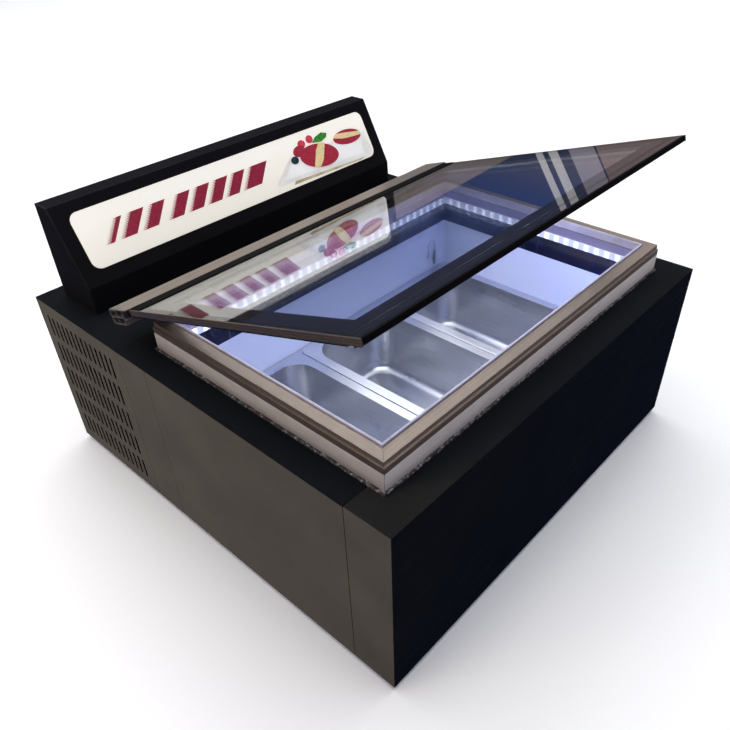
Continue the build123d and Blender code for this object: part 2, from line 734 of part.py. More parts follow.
def on_sign_face(solid):
    """Places a solid drawn with x along, y up the slope and z out of the leaning face."""
    lean = math.radians(SIGN_LEAN)
    face = Plane(
        origin=(0, SIGN_KINK_Y, SIGN_KINK_Z),
        x_dir=(1, 0, 0),
        z_dir=(0, -math.cos(lean), math.sin(lean)),
    )
    return face * solid


def window_blank(gap, z0, z1):
    middle = (WINDOW_LOW + WINDOW_HIGH) / 2
    outline = RectangleRounded(WINDOW_X - 2 * gap, WINDOW_HIGH - WINDOW_LOW - 2 * gap, WINDOW_R - gap)
    return on_sign_face(Pos(0, middle, z0) * extrude(outline, amount=z1 - z0))


def sign_housing():
    half = SIGN_X / 2 - SHEET
    shell = prism_x(sign_outline(0), -half, half)
    hollow = prism_x(sign_outline(SHEET), -half, half)
    open_back = block(-half, half, SIGN_REAR_Y - SHEET, SIGN_REAR_Y, DECK_Z, SIGN_TOP_Z - FLANGE)
    return shell - hollow - open_back - window_blank(0, -2 * SHEET, SHEET)


def sign_ends():
    end = prism_x(sign_outline(0), SIGN_X / 2 - SHEET, SIGN_X / 2)
    return several(end, mirrored_x(end))


def sign_panel():
    """Opal sheet that fills the window, with a wider step behind the housing."""
    front = window_blank(WINDOW_GAP, -SHEET, WINDOW_PROUD)
    middle = (WINDOW_LOW + WINDOW_HIGH) / 2
    outline = RectangleRounded(
        WINDOW_X + 2 * WINDOW_STEP, WINDOW_HIGH - WINDOW_LOW + 2 * WINDOW_STEP, WINDOW_R
    )
    step = on_sign_face(Pos(0, middle, -SHEET - SIGN_PANE) * extrude(outline, amount=SIGN_PANE - 0.1))
    return front + step + window_blank(WINDOW_GAP, -SHEET - 0.2, -SHEET + 0.2)


def sign_back():
    half = SIGN_X / 2 - SHEET - PANEL_GAP / 2
    return block(
        -half, half, SIGN_REAR_Y - SHEET, SIGN_REAR_Y, DECK_Z, SIGN_TOP_Z - FLANGE - PANEL_GAP / 2
    )


def sign_led_bars():
    """Two light bars on the back plate, facing the panel."""
    half = SIGN_X / 2 - LIGHT_BAR_INSET
    y1 = SIGN_REAR_Y - SHEET
    bars = []
    for drop in LIGHT_BAR_DROPS:
        z = SIGN_TOP_Z - drop
        channel = block(-half, half, y1 - LIGHT_BAR_D, y1, z - LIGHT_BAR_H / 2, z + LIGHT_BAR_H / 2)
        bars.append(fillet(channel.edges().filter_by(Axis.X), 1.0))
    return several(*bars)


# ---------------------------------------------------------------- machine compartment
def compressor():
    z0 = TRAY_Z + MOUNT_H + PLATE_T
    shell = rod_z(COMPRESSOR_R, z0, z0 + COMPRESSOR_H, COMPRESSOR_X, COMPRESSOR_Y)
    shell = fillet(shell.edges(), COMPRESSOR_R * 0.42)
    base = Pos(COMPRESSOR_X, COMPRESSOR_Y, z0 - PLATE_T / 2) * Box(2 * PLATE_HX, 2 * PLATE_HY, PLATE_T)
    base = fillet(base.edges().filter_by(Axis.Z), 14.0)
    pad = rod_z(COMPRESSOR_R * 0.6, z0, z0 + 12, COMPRESSOR_X, COMPRESSOR_Y)
    terminal = block(
        COMPRESSOR_X + COMPRESSOR_R - 12, COMPRESSOR_X + COMPRESSOR_R + 16,
        COMPRESSOR_Y - 24, COMPRESSOR_Y + 24, z0 + 40, z0 + 92,
    )
    bores = [rod_z(5.0, z0 - PLATE_T, z0, x, y) for x, y in compressor_feet()]
    return joined(shell, base, pad, fillet(terminal.edges(), 3.0)) - bores


def compressor_feet():
    return [
        (COMPRESSOR_X + sx * (PLATE_HX - 15), COMPRESSOR_Y + sy * (PLATE_HY - 15))
        for sx in (-1, 1)
        for sy in (-1, 1)
    ]


def compressor_mounts():
    """Waisted rubber grommets between the tray and the compressor plate."""
    mounts = []
    for x, y in compressor_feet():
        mount = joined(
            rod_z(11.0, TRAY_Z, TRAY_Z + MOUNT_H * 0.4, x, y),
            rod_z(8.0, TRAY_Z, TRAY_Z + MOUNT_H, x, y),
            rod_z(4.8, TRAY_Z, TRAY_Z + MOUNT_H + 6.0, x, y),
        )
        mounts.append(mount)
    return several(*mounts)


def condenser():
    """Fin and tube block with return bends; it stands just inside the left louvres."""
    step = (CONDENSER_Z1 - CONDENSER_Z0) / CONDENSER_ROWS
    mid = (CONDENSER_X0 + CONDENSER_X1) / 2
    fins = []
    y = CONDENSER_Y0
    while y + FIN <= CONDENSER_Y1:
        fins.append(block(CONDENSER_X0, CONDENSER_X1, y, y + FIN, CONDENSER_Z0, CONDENSER_Z1))
        y += FIN_PITCH
    last = y - FIN_PITCH + FIN
    tubes = [
        rod_y(CONDENSER_TUBE_R, CONDENSER_Y0 - 6, last + 6, mid, CONDENSER_Z0 + step * (row + 0.5))
        for row in range(CONDENSER_ROWS)
    ]
    body = fins[0].fuse(*fins[1:], *tubes)
    feet = block(CONDENSER_X0, CONDENSER_X1, CONDENSER_Y0, last, CONDENSER_Z0 - 1.5, CONDENSER_Z0 + 0.2)
    stand = [
        block(mid - 8, mid + 8, y0, y0 + 14, TRAY_Z, CONDENSER_Z0)
        for y0 in (CONDENSER_Y0 + 10, last - 24)
    ]
    return body.fuse(feet, *stand)


def fan_shroud():
    plate = block(
        SHROUD_X, SHROUD_X + SHEET, CONDENSER_Y0, CONDENSER_Y1, TRAY_Z, CONDENSER_Z1
    )
    ring = rod_x(FAN_R + FAN_CLEAR + SHEET, SHROUD_X, SHROUD_X + SHROUD_D, FAN_Y, FAN_Z)
    hole = rod_x(FAN_R + FAN_CLEAR, SHROUD_X, SHROUD_X + SHROUD_D, FAN_Y, FAN_Z)
    return plate + ring - hole


def fan_blade():
    hub = rod_x(20.0, SHROUD_X + 3, SHROUD_X + 19, FAN_Y, FAN_Z)
    blades = []
    for index in range(5):
        blade = Pos(0, 0, FAN_R * 0.55) * Rot(0, 0, 62) * Box(30.0, 1.6, FAN_R * 1.1)
        blade = blade & (Rot(0, 90, 0) * Cylinder(FAN_R, 16))
        turned = Pos(SHROUD_X + 11, FAN_Y, FAN_Z) * Rot(index * 72, 0, 0) * blade
        blades.append(turned)
    wheel = hub.fuse(*blades)
    bore = rod_x(SHAFT_R + SHAFT_CLEAR, SHROUD_X + 7, SHROUD_X + 19, FAN_Y, FAN_Z)
    return wheel - bore


def fan_motor():
    body = rod_x(MOTOR_R, MOTOR_X, MOTOR_X + MOTOR_L, FAN_Y, FAN_Z)
    body = fillet(body.edges(), 4.0)
    shaft = rod_x(SHAFT_R, SHROUD_X + 8, MOTOR_X + 1, FAN_Y, FAN_Z)
    leg = block(MOTOR_X + 10, MOTOR_X + 30, FAN_Y - 22, FAN_Y + 22, TRAY_Z, FAN_Z - 20)
    leg = leg - block(MOTOR_X + 12.5, MOTOR_X + 30, FAN_Y - 19, FAN_Y + 19, TRAY_Z + 2, FAN_Z - 20)
    foot = block(MOTOR_X + 10, MOTOR_X + 52, FAN_Y - 22, FAN_Y + 22, TRAY_Z, TRAY_Z + 2)
    return joined(body, shaft, leg, foot)


def tube_along(points, bend):
    path = FilletPolyline(*points, radius=bend)
    section = Plane(origin=path @ 0, z_dir=path % 0) * Circle(TUBE_R)
    return sweep(section, path=path)


def refrigerant_lines():
    """Discharge, liquid (with filter drier) and suction tubes."""
    shell_top = TRAY_Z + MOUNT_H + PLATE_T + COMPRESSOR_H
    side_x = COMPRESSOR_X - COMPRESSOR_R
    mid = (CONDENSER_X0 + CONDENSER_X1) / 2
    high = DECK_Z - DISCHARGE_DROP
    offset = 20.0
    shell_x = COMPRESSOR_X - math.sqrt(COMPRESSOR_R**2 - (offset - TUBE_R) ** 2)
    discharge = tube_along(
        [
            (shell_x, COMPRESSOR_Y - offset, DISCHARGE_Z),
            (side_x - 40, COMPRESSOR_Y - offset, DISCHARGE_Z),
            (side_x - 40, LANE_Y, DISCHARGE_Z),
            (side_x - 40, LANE_Y, high),
            (mid, LANE_Y, high),
            (mid, LANE_Y, CONDENSER_Z1 - TUBE_BEND),
        ],
        TUBE_BEND,
    )
    liquid = tube_along(
        [
            (mid + 30, LANE_Y, LIQUID_Z),
            (-60, LANE_Y, LIQUID_Z),
            (-20, LANE_Y, LIQUID_WALL[1]),
            (LIQUID_WALL[0], LANE_Y, LIQUID_WALL[1]),
            (LIQUID_WALL[0], MACHINE_Y - SHEET - TUBE_SEAT, LIQUID_WALL[1]),
        ],
        TUBE_BEND / 2,
    )
    suction = tube_along(
        [
            (COMPRESSOR_X + 20, COMPRESSOR_Y - 30, shell_top),
            (COMPRESSOR_X + 20, COMPRESSOR_Y - 30, shell_top + 40),
            (SUCTION_WALL[0], COMPRESSOR_Y - 30, shell_top + 40),
            (SUCTION_WALL[0], COMPRESSOR_Y - 30, SUCTION_WALL[1]),
            (SUCTION_WALL[0], MACHINE_Y - SHEET - TUBE_SEAT, SUCTION_WALL[1]),
        ],
        TUBE_BEND,
    )
    drier = rod_x(DRIER_R, DRIER_X[0], DRIER_X[1], LANE_Y, LIQUID_Z)
    drier = fillet(drier.edges(), DRIER_R - TUBE_R)
    return several(discharge, liquid + drier, suction)


def pocket_hole(x, half_x, half_z, y0, y1):
    return block(x - half_x, x + half_x, y0, y1, CONTROL_Z - half_z, CONTROL_Z + half_z)


def control_box():
    """Electrical box whose rear face is the floor of a pocket in the rear panel."""
    back = REAR_Y - SHEET
    inner = POCKET_Y - POCKET_WALL
    x0 = POCKET_X0 - SHEET
    x1 = POCKET_X1 + SHEET
    z0 = POCKET_Z0 - SHEET
    z1 = POCKET_Z1 + SHEET
    pocket = block(x0, x1, inner, back, z0, z1)
    pocket = pocket - block(POCKET_X0, POCKET_X1, POCKET_Y, back, POCKET_Z0, POCKET_Z1)
    case = block(x0, x1, CASE_Y, inner, z0, z1)
    case = case - block(
        x0 + POCKET_WALL, x1 - POCKET_WALL, CASE_Y + POCKET_WALL, inner, z0 + POCKET_WALL, z1 - POCKET_WALL
    )
    box = pocket + case
    box = box - rod_y(SHAFT_R + SHAFT_CLEAR, inner, POCKET_Y, KNOB_X, CONTROL_Z)
    box = box - pocket_hole(ROCKER_X, 6.6, 10.6, inner, POCKET_Y)
    box = box - pocket_hole(INLET_X, 13.6, 10.1, inner, POCKET_Y)
    pivot = rod_x(1.0, ROCKER_X - 6.6, ROCKER_X + 6.6, POCKET_Y - 1.0, CONTROL_Z)
    return box + pivot


def thermostat_knob():
    cap = rod_y(KNOB_R, POCKET_Y + 1.0, POCKET_Y + 15.0, KNOB_X, CONTROL_Z)
    cap = fillet(cap.edges().sort_by(Axis.Y)[-1], 2.0)
    ribs = []
    for index in range(12):
        angle = math.radians(index * 30)
        x = KNOB_X + KNOB_R * math.cos(angle)
        z = CONTROL_Z + KNOB_R * math.sin(angle)
        ribs.append(rod_y(1.3, POCKET_Y + 1.0, POCKET_Y + 13.0, x, z))
    shaft = rod_y(SHAFT_R, POCKET_Y - 14.0, POCKET_Y + 2.0, KNOB_X, CONTROL_Z)
    pointer = Pos(KNOB_X, POCKET_Y + 15.0, CONTROL_Z + KNOB_R * 0.6) * Box(1.6, 1.2, KNOB_R * 0.6)
    return cap.fuse(*ribs, shaft, pointer)


def rocker_switch():
    """Paddle that tips about a short pin across its middle."""
    pivot_y = POCKET_Y - 1.0
    half = 6.0
    outline = [
        (pivot_y - 3.0, CONTROL_Z - 7.0),
        (pivot_y + 4.5, CONTROL_Z - 9.6),
        (pivot_y + 2.8, CONTROL_Z),
        (pivot_y + 4.5, CONTROL_Z + 9.6),
        (pivot_y - 3.0, CONTROL_Z + 7.0),
    ]
    paddle = prism_x(outline, ROCKER_X - half, ROCKER_X + half)
    return paddle - rod_x(1.0 + SHAFT_CLEAR, ROCKER_X - half, ROCKER_X + half, pivot_y, CONTROL_Z)


def power_inlet():
    """Appliance inlet: flange, body with a well, and three flat pins."""
    y0 = POCKET_Y
    flange = block(INLET_X - 17, INLET_X + 17, y0, y0 + 2.5, CONTROL_Z - 15, CONTROL_Z + 15)
    flange = fillet(flange.edges().filter_by(Axis.Y), 3.0)
    body = block(INLET_X - 13.4, INLET_X + 13.4, y0 - 20, y0, CONTROL_Z - 9.9, CONTROL_Z + 9.9)
    well = block(INLET_X - 12, INLET_X + 12, y0 - 14, y0 + 2.5, CONTROL_Z - 8.2, CONTROL_Z + 8.2)
    pins = [
        block(x - 1.0, x + 1.0, y0 - 15, y0 - 4, z - 2.0, z + 2.0)
        for x, z in ((INLET_X - 7, CONTROL_Z - 2), (INLET_X, CONTROL_Z + 2), (INLET_X + 7, CONTROL_Z - 2))
    ]
    return (flange + body - well) + pins[0] + pins[1] + pins[2]


# ---------------------------------------------------------------- hinge
def hinge_brackets():
    """Plate on the collar's rear board with two ears that hold the pin."""
    y0 = TUB_CENTRE_Y + COLLAR_HY
    y1 = y0 + BRACKET_T
    z0 = DECK_Z + 1.0
    z1 = BOARD_TOP_Z - 1.0
    brackets = []
    for side in (-1, 1):
        x = side * HINGE_X
        bracket = block(x - BRACKET_HX, x + BRACKET_HX, y0, y1, z0, z1)
        for ear_side in (-1, 1):
            ear_x = x + ear_side * EAR_CENTRE
            outline = [
                (y1 - 0.5, z0 + 3),
                (y1 + 8, z0 + 3),
                (HINGE_Y + 3, HINGE_Z - 3.3),
                (HINGE_Y - 1, HINGE_Z),
                (y1 - 0.5, z1),
            ]
            ear = prism_x(outline, ear_x - EAR_X / 2, ear_x + EAR_X / 2)
            barrel = rod_x(BARREL_R, ear_x - EAR_X / 2, ear_x + EAR_X / 2, HINGE_Y, HINGE_Z)
            bracket = bracket + ear + barrel
        bracket = bracket - rod_x(PIN_R + PIN_SEAT_CLEAR, x - BRACKET_HX, x + BRACKET_HX, HINGE_Y, HINGE_Z)
        holes = [
            rod_y(SCREW_R + SCREW_CLEAR, y0, y1, sx, sz) for sx, sz in BRACKET_SCREWS if sx * side > 0
        ]
        brackets.append(bracket - holes)
    return several(*brackets)


def hinge_pins():
    half = EAR_CENTRE + EAR_X / 2 + 1.5
    pins = []
    for side in (-1, 1):
        pin = rod_x(PIN_R, side * HINGE_X - half, side * HINGE_X + half, HINGE_Y, HINGE_Z)
        pins.append(chamfer(pin.edges(), 0.4))
    return several(*pins)


def lid_hinge_leaves():
    """Leaves riveted under the lid profile, each with a barrel that turns on the pin."""
    leaves = []
    for side in (-1, 1):
        x0 = side * HINGE_X - LEAF_X / 2
        x1 = side * HINGE_X + LEAF_X / 2
        outline = [
            (HINGE_Y - 4, PROFILE_BASE_Z - LEAF_GAP),
            (HINGE_Y + 20, PROFILE_BASE_Z - LEAF_GAP),
            (HINGE_Y + 20, PROFILE_BASE_Z - LEAF_GAP - LEAF_T),
            (HINGE_Y + BARREL_R, HINGE_Z),
            (HINGE_Y - 4, HINGE_Z),
        ]
        leaf = prism_x(outline, x0, x1) + rod_x(BARREL_R, x0, x1, HINGE_Y, HINGE_Z)
        leaves.append(leaf - rod_x(PIN_R + PIN_CLEAR, x0, x1, HINGE_Y, HINGE_Z))
    return opened(several(*leaves))


# ---------------------------------------------------------------- lid
def lid_hinge_profile():
    """Extrusion with hollow cells at the rear and a channel that grips the glass."""
    half = PROFILE_X / 2
    wall = PROFILE_WALL
    middle_z = (PROFILE_BASE_Z + PROFILE_TOP_Z) / 2
    web_y = (PROFILE_LEG_Y + PROFILE_REAR_Y) / 2
    outline = [
        (PROFILE_LEG_Y, PROFILE_BASE_Z),
        (PROFILE_REAR_Y - 3, PROFILE_BASE_Z),
        (PROFILE_REAR_Y, PROFILE_BASE_Z + 3),
        (PROFILE_REAR_Y, PROFILE_TOP_Z - 2),
        (PROFILE_REAR_Y - 2, PROFILE_TOP_Z),
        (PROFILE_LIP_Y, PROFILE_TOP_Z),
        (PROFILE_LIP_Y, LID_TOP_Z),
        (PROFILE_LEG_Y, LID_TOP_Z),
        (PROFILE_LEG_Y, PANE_Z),
        (PROFILE_LIP_Y + 4, PANE_Z),
        (PROFILE_LIP_Y + 4, PANE_Z - wall),
        (PROFILE_LEG_Y, PANE_Z - wall),
    ]
    bar = prism_x(outline, -half, half)
    cells = [
        block(-half, half, web_y + wall / 2, PROFILE_REAR_Y - wall, middle_z + wall / 2, PROFILE_TOP_Z - wall - 1),
        block(-half, half, PROFILE_LEG_Y + wall, web_y - wall / 2, middle_z + wall / 2, PROFILE_TOP_Z - wall),
        block(
            -half, half, web_y + wall / 2, PROFILE_REAR_Y - wall - 2,
            PROFILE_BASE_Z + wall, middle_z - wall / 2,
        ),
        block(-half, half, PROFILE_LEG_Y + wall, web_y - wall / 2, PROFILE_BASE_Z + wall, middle_z - wall / 2),
    ]
    top_lines = [
        block(-half, half, y, y + 0.6, PROFILE_TOP_Z - 0.4, PROFILE_TOP_Z)
        for y in (PROFILE_REAR_Y - 9.0, PROFILE_REAR_Y - 12.5)
    ]
    return opened(bar - cells - top_lines)


def lid_glass_top():
    pane = block(-PANE_HX, PANE_HX, PANE_FRONT_Y, PANE_REAR_Y, LID_TOP_Z - PANE_TOP, LID_TOP_Z)
    return opened(pane)


def lid_glass_bottom():
    """Lower pane, set back from the front edge of the upper one."""
    return opened(block(-PANE_HX, PANE_HX, LOWER_FRONT_Y, PANE_REAR_Y, PANE_Z, PANE_Z + PANE_BOTTOM))


def lid_spacer():
    z0 = PANE_Z + PANE_BOTTOM
    half = PANE_HX - SPACER_INSET
    y0 = LOWER_FRONT_Y + SPACER_INSET
    y1 = PANE_REAR_Y - SPACER_INSET
    return opened(pane_frame(half, y0, y1, SPACER_W, z0, z0 + PANE_SPACE))


def lid_side_trims():
    """Grooved aluminium trims along both glass edges."""
    x0 = PANE_HX
    x1 = LID_X / 2
    z0 = LID_TOP_Z - TRIM_H
    rear = PROFILE_LIP_Y - 0.2
    trim = block(x0, x1, LID_FRONT_Y, rear, z0, LID_TOP_Z)
    for rise in TRIM_GROOVES:
        z = z0 + rise
        trim = trim - block(x1 - GROOVE_D, x1, LID_FRONT_Y, rear, z, z + GROOVE_H)
    return opened(several(trim, mirrored_x(trim)))


def lid_front_strip():
    strip = block(-PANE_HX, PANE_HX, LID_FRONT_Y, PANE_FRONT_Y, LID_TOP_Z - TRIM_H, LID_TOP_Z)
    return opened(chamfer(strip.faces().sort_by(Axis.Y)[0].edges().filter_by(Axis.X), 0.8))


def lid_gasket():
    """Seal under the glass, over the collar's lip."""
    w0 = COLLAR_W - LIP_W + RIM_FLANGE - GASKET_SPREAD
    w1 = COLLAR_W + RIM_FLANGE + GASKET_SPREAD
    outer = block(
        -COLLAR_HX + w0, COLLAR_HX - w0, TUB_CENTRE_Y - COLLAR_HY + w0, TUB_CENTRE_Y + COLLAR_HY - w0,
        PANE_Z - GASKET, PANE_Z,
    )
    inner = block(
        -COLLAR_HX + w1, COLLAR_HX - w1, TUB_CENTRE_Y - COLLAR_HY + w1, TUB_CENTRE_Y + COLLAR_HY - w1,
        PANE_Z - GASKET, PANE_Z,
    )
    return opened(outer - inner)


# ---------------------------------------------------------------- write
PARTS = {
    "base_tray": base_tray,
    "rubber_feet": rubber_feet,
    "front_cover": front_cover,
    "side_panel_left": lambda: side_panel(-1),
    "side_panel_right": lambda: side_panel(1),
    "filler_strips": filler_strips,
    "louvre_panel_left": lambda: louvre_panel(-1),
    "louvre_panel_right": lambda: louvre_panel(1),
    "rear_panel": rear_panel,
    "deck_middle": deck_middle,
    "deck_rear": deck_rear,
    "machine_bulkhead": machine_bulkhead,
    "screws": screws,
    "foam_front": foam_front,
    "foam_rear": foam_rear,
    "foam_sides": foam_sides,
    "foam_floor": foam_floor,
    "tub_liner": tub_liner,
    "evaporator_plates": evaporator_plates,
    "glare_bands": glare_bands,
    "pan_rails": pan_rails,
    "pan_crossbars": pan_crossbars,
    "pan_left": lambda: pan(0),
    "pan_middle": lambda: pan(1),
    "pan_right": lambda: pan(2),
    "sensor_probe": sensor_probe,
    "sensor_lead": sensor_lead,
    "collar_boards_long": collar_boards_long,
    "collar_boards_short": lambda: collar_pair_short(board_section()),
    "rim_profiles_long": lambda: collar_pair_long(rim_section()),
    "rim_profiles_short": lambda: collar_pair_short(rim_section()),
    "rim_lip": lambda: collar_ring(lip_section()),
    "led_channels": led_channels,
    "led_diffusers": led_diffusers,
    "sign_housing": sign_housing,
    "sign_ends": sign_ends,
    "sign_panel": sign_panel,
    "sign_back": sign_back,
    "sign_led_bars": sign_led_bars,
    "compressor": compressor,
    "compressor_mounts": compressor_mounts,
    "condenser": condenser,
    "fan_shroud": fan_shroud,
    "fan_blade": fan_blade,
    "fan_motor": fan_motor,
    "refrigerant_lines": refrigerant_lines,
    "control_box": control_box,
    "thermostat_knob": thermostat_knob,
    "rocker_switch": rocker_switch,
    "power_inlet": power_inlet,
    "hinge_brackets": hinge_brackets,
    "hinge_pins": hinge_pins,
    "lid_hinge_leaves": lid_hinge_leaves,
    "lid_hinge_profile": lid_hinge_profile,
    "lid_glass_top": lid_glass_top,
    "lid_glass_bottom": lid_glass_bottom,
    "lid_spacer": lid_spacer,
    "lid_side_trims": lid_side_trims,
    "lid_front_strip": lid_front_strip,
    "lid_gasket": lid_gasket,
}

os.makedirs("parts", exist_ok=True)
for node, make in PARTS.items():
    export_step(make(), f"parts/{node}.step")
print(len(PARTS), "parts written")
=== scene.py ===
# Countertop display freezer: black sheet-metal cabinet, insulated tub with three steel pans,
# raised double-glazed lid and a light box at the rear. Metres, +Z up, +Y towards the rear.
import json
import math

import bmesh
import bpy
from mathutils import Matrix, Vector


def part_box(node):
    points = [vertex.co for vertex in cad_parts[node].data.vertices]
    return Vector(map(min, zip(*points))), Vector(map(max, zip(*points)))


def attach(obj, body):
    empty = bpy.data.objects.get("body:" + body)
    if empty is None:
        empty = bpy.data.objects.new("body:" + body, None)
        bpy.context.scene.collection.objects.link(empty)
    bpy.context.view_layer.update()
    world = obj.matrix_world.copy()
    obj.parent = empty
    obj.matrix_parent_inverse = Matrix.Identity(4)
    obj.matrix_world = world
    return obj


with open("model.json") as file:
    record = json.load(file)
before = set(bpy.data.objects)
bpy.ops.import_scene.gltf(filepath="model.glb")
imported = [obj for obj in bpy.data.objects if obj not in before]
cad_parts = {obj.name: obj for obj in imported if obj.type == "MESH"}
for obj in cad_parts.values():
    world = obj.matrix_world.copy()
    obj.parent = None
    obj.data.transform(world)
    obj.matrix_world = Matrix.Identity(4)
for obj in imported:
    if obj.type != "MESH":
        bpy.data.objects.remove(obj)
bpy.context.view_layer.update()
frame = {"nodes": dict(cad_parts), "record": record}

NODES = frame["nodes"]
MM = 0.001


# ---------------------------------------------------------------- colour and node helpers
def paint(hex_code):
    """sRGB hex to the linear colour that a shader takes."""
    channels = [int(hex_code[i:i + 2], 16) / 255 for i in (1, 3, 5)]
    return [c / 12.92 if c <= 0.04045 else ((c + 0.055) / 1.055) ** 2.4 for c in channels] + [1.0]


def add(tree, kind, inputs=None, **settings):
    """Adds a node, sets its properties, then sets or links its inputs by name or number."""
    made = tree.nodes.new(kind)
    for name, value in settings.items():
        setattr(made, name, value)
    for name, value in (inputs or {}).items():
        if isinstance(value, bpy.types.NodeSocket):
            tree.links.new(value, made.inputs[name])
        else:
            made.inputs[name].default_value = value
    return made


def start_finish(name, **sockets):
    """New material; returns it with its tree, its Principled shader and Object coordinates."""
    material = bpy.data.materials.new(name)
    material.use_nodes = True
    tree = material.node_tree
    shader = tree.nodes["Principled BSDF"]
    for socket, value in sockets.items():
        shader.inputs[socket.replace("_", " ")].default_value = value
    place = add(tree, "ShaderNodeTexCoord").outputs["Object"]
    return material, tree, shader, place


def feed(tree, shader, **sources):
    for socket, source in sources.items():
        tree.links.new(source, shader.inputs[socket.replace("_", " ")])


def edge_mask(tree, radius):
    """0 on flat faces, rising to 1 where two faces meet within the radius."""
    rounded = add(tree, "ShaderNodeBevel", {"Radius": radius}, samples=4)
    flat = add(tree, "ShaderNodeNewGeometry").outputs["True Normal"]
    along = add(
        tree, "ShaderNodeVectorMath", {0: rounded.outputs["Normal"], 1: flat}, operation="DOT_PRODUCT"
    )
    return add(
        tree, "ShaderNodeMapRange", {0: along.outputs["Value"], 1: 0.995, 2: 0.8, 3: 0.0, 4: 1.0}
    ).outputs[0]


# ---------------------------------------------------------------- finishes
def powder_coat(name, colour, high, edge, rough=0.52, grain=1.3 * MM):
    """Polyester powder coat on folded steel sheet: matte with a fine orange-peel grain, faint
    cloudy handling marks, and folds painted lighter: partly rubbed wear, partly painted highlight. The real grain is
    0.3 mm."""
    coat, tree, shader, place = start_finish(
        name, IOR=1.5, Specular_IOR_Level=0.02, Specular_Tint=paint("#4A5262")
    )
    clouds = add(tree, "ShaderNodeTexNoise", {"Vector": place, "Scale": 1 / (90 * MM), "Detail": 4.0})
    rubs = add(
        tree, "ShaderNodeTexNoise",
        {"Vector": add(tree, "ShaderNodeMapping", {"Vector": place, "Scale": (1.0, 1.0, 9.0)}).outputs[0],
         "Scale": 1 / (70 * MM), "Detail": 6.0, "Roughness": 0.7},
    )
    marks = add(tree, "ShaderNodeMapRange", {0: rubs.outputs[0], 1: 0.58, 2: 0.78, 3: 0.0, 4: 0.5}).outputs[0]
    base = add(
        tree, "ShaderNodeMix", {0: clouds.outputs[0], 6: paint(colour), 7: paint(high)}, data_type="RGBA"
    )
    scuffed = add(tree, "ShaderNodeMix", {0: marks, 6: base.outputs[2], 7: paint(high)}, data_type="RGBA")
    # edges mixed towards the edge colour: partly rubbed wear, partly painted highlight
    edge_wear_and_highlight = add(
        tree, "ShaderNodeMath",
        {0: edge_mask(tree, 1.4 * MM), 1: add(
            tree, "ShaderNodeMapRange", {0: clouds.outputs[0], 1: 0.35, 2: 0.7, 3: 0.25, 4: 1.0}
        ).outputs[0]},
        operation="MULTIPLY",
    ).outputs[0]
    shown = add(tree, "ShaderNodeMix", {0: edge_wear_and_highlight, 6: scuffed.outputs[2], 7: paint(edge)}, data_type="RGBA")
    gloss = add(tree, "ShaderNodeMapRange", {0: rubs.outputs[0], 1: 0.3, 2: 0.7, 3: rough + 0.06, 4: rough - 0.07})
    peel = add(tree, "ShaderNodeTexNoise", {"Vector": place, "Scale": 1 / grain, "Detail": 2.0})
    bump = add(
        tree, "ShaderNodeBump",
        {"Strength": 0.35, "Distance": 0.12 * MM, "Height": peel.outputs[0],
         "Normal": add(tree, "ShaderNodeBevel", {"Radius": 0.8 * MM}, samples=4).outputs[0]},
    )
    feed(tree, shader, Base_Color=shown.outputs[2], Roughness=gloss.outputs[0], Normal=bump.outputs[0])
    return coat


def galvanised_steel():
    """Hot-dip galvanised sheet: a dull silver metal with spangles about 9 mm across."""
    zinc, tree, shader, place = start_finish("galvanised_steel", Metallic=1.0)
    spangle = add(tree, "ShaderNodeTexVoronoi", {"Vector": place, "Scale": 1 / (9 * MM)})
    tone = add(
        tree, "ShaderNodeMix",
        {0: spangle.outputs["Color"], 6: paint("#8E9294"), 7: paint("#B9BDBE")}, data_type="RGBA",
    )
    rough = add(tree, "ShaderNodeMapRange", {0: spangle.outputs["Color"], 3: 0.38, 4: 0.55})
    feed(tree, shader, Base_Color=tone.outputs[2], Roughness=rough.outputs[0])
    return zinc


def moulded_plastic(name, colour, rough, grain=0.9 * MM, level=0.5):
    """Injection-moulded plastic or rubber: one colour with a fine spark-eroded grain."""
    plastic, tree, shader, place = start_finish(name, IOR=1.5, Specular_IOR_Level=level)
    clouds = add(tree, "ShaderNodeTexNoise", {"Vector": place, "Scale": 1 / (25 * MM), "Detail": 3.0})
    tone = add(
        tree, "ShaderNodeHueSaturation",
        {"Color": paint(colour), "Value": add(
            tree, "ShaderNodeMapRange", {0: clouds.outputs[0], 1: 0.3, 2: 0.7, 3: 0.86, 4: 1.14}
        ).outputs[0]},
    )
    spread = add(tree, "ShaderNodeMapRange", {0: clouds.outputs[0], 3: rough - 0.06, 4: rough + 0.06})
    speck = add(tree, "ShaderNodeTexNoise", {"Vector": place, "Scale": 1 / grain, "Detail": 1.0})
    bump = add(
        tree, "ShaderNodeBump",
        {"Strength": 0.3, "Distance": 0.08 * MM, "Height": speck.outputs[0],
         "Normal": add(tree, "ShaderNodeBevel", {"Radius": 0.5 * MM}, samples=4).outputs[0]},
    )
    feed(tree, shader, Base_Color=tone.outputs[0], Roughness=spread.outputs[0], Normal=bump.outputs[0])
    return plastic


def polyurethane_foam():
    """Cut rigid polyurethane foam: pale yellow with open cells, drawn 2 mm wide."""
    foam, tree, shader, place = start_finish("polyurethane_foam", Roughness=0.95)
    cells = add(tree, "ShaderNodeTexVoronoi", {"Vector": place, "Scale": 1 / (2 * MM)})
    tone = add(
        tree, "ShaderNodeMix",
        {0: cells.outputs["Distance"], 6: paint("#D9C48F"), 7: paint("#EFE0B4")}, data_type="RGBA",
    )
    bump = add(tree, "ShaderNodeBump", {"Distance": 0.5 * MM, "Height": cells.outputs["Distance"]})
    feed(tree, shader, Base_Color=tone.outputs[2], Normal=bump.outputs[0])
    return foam


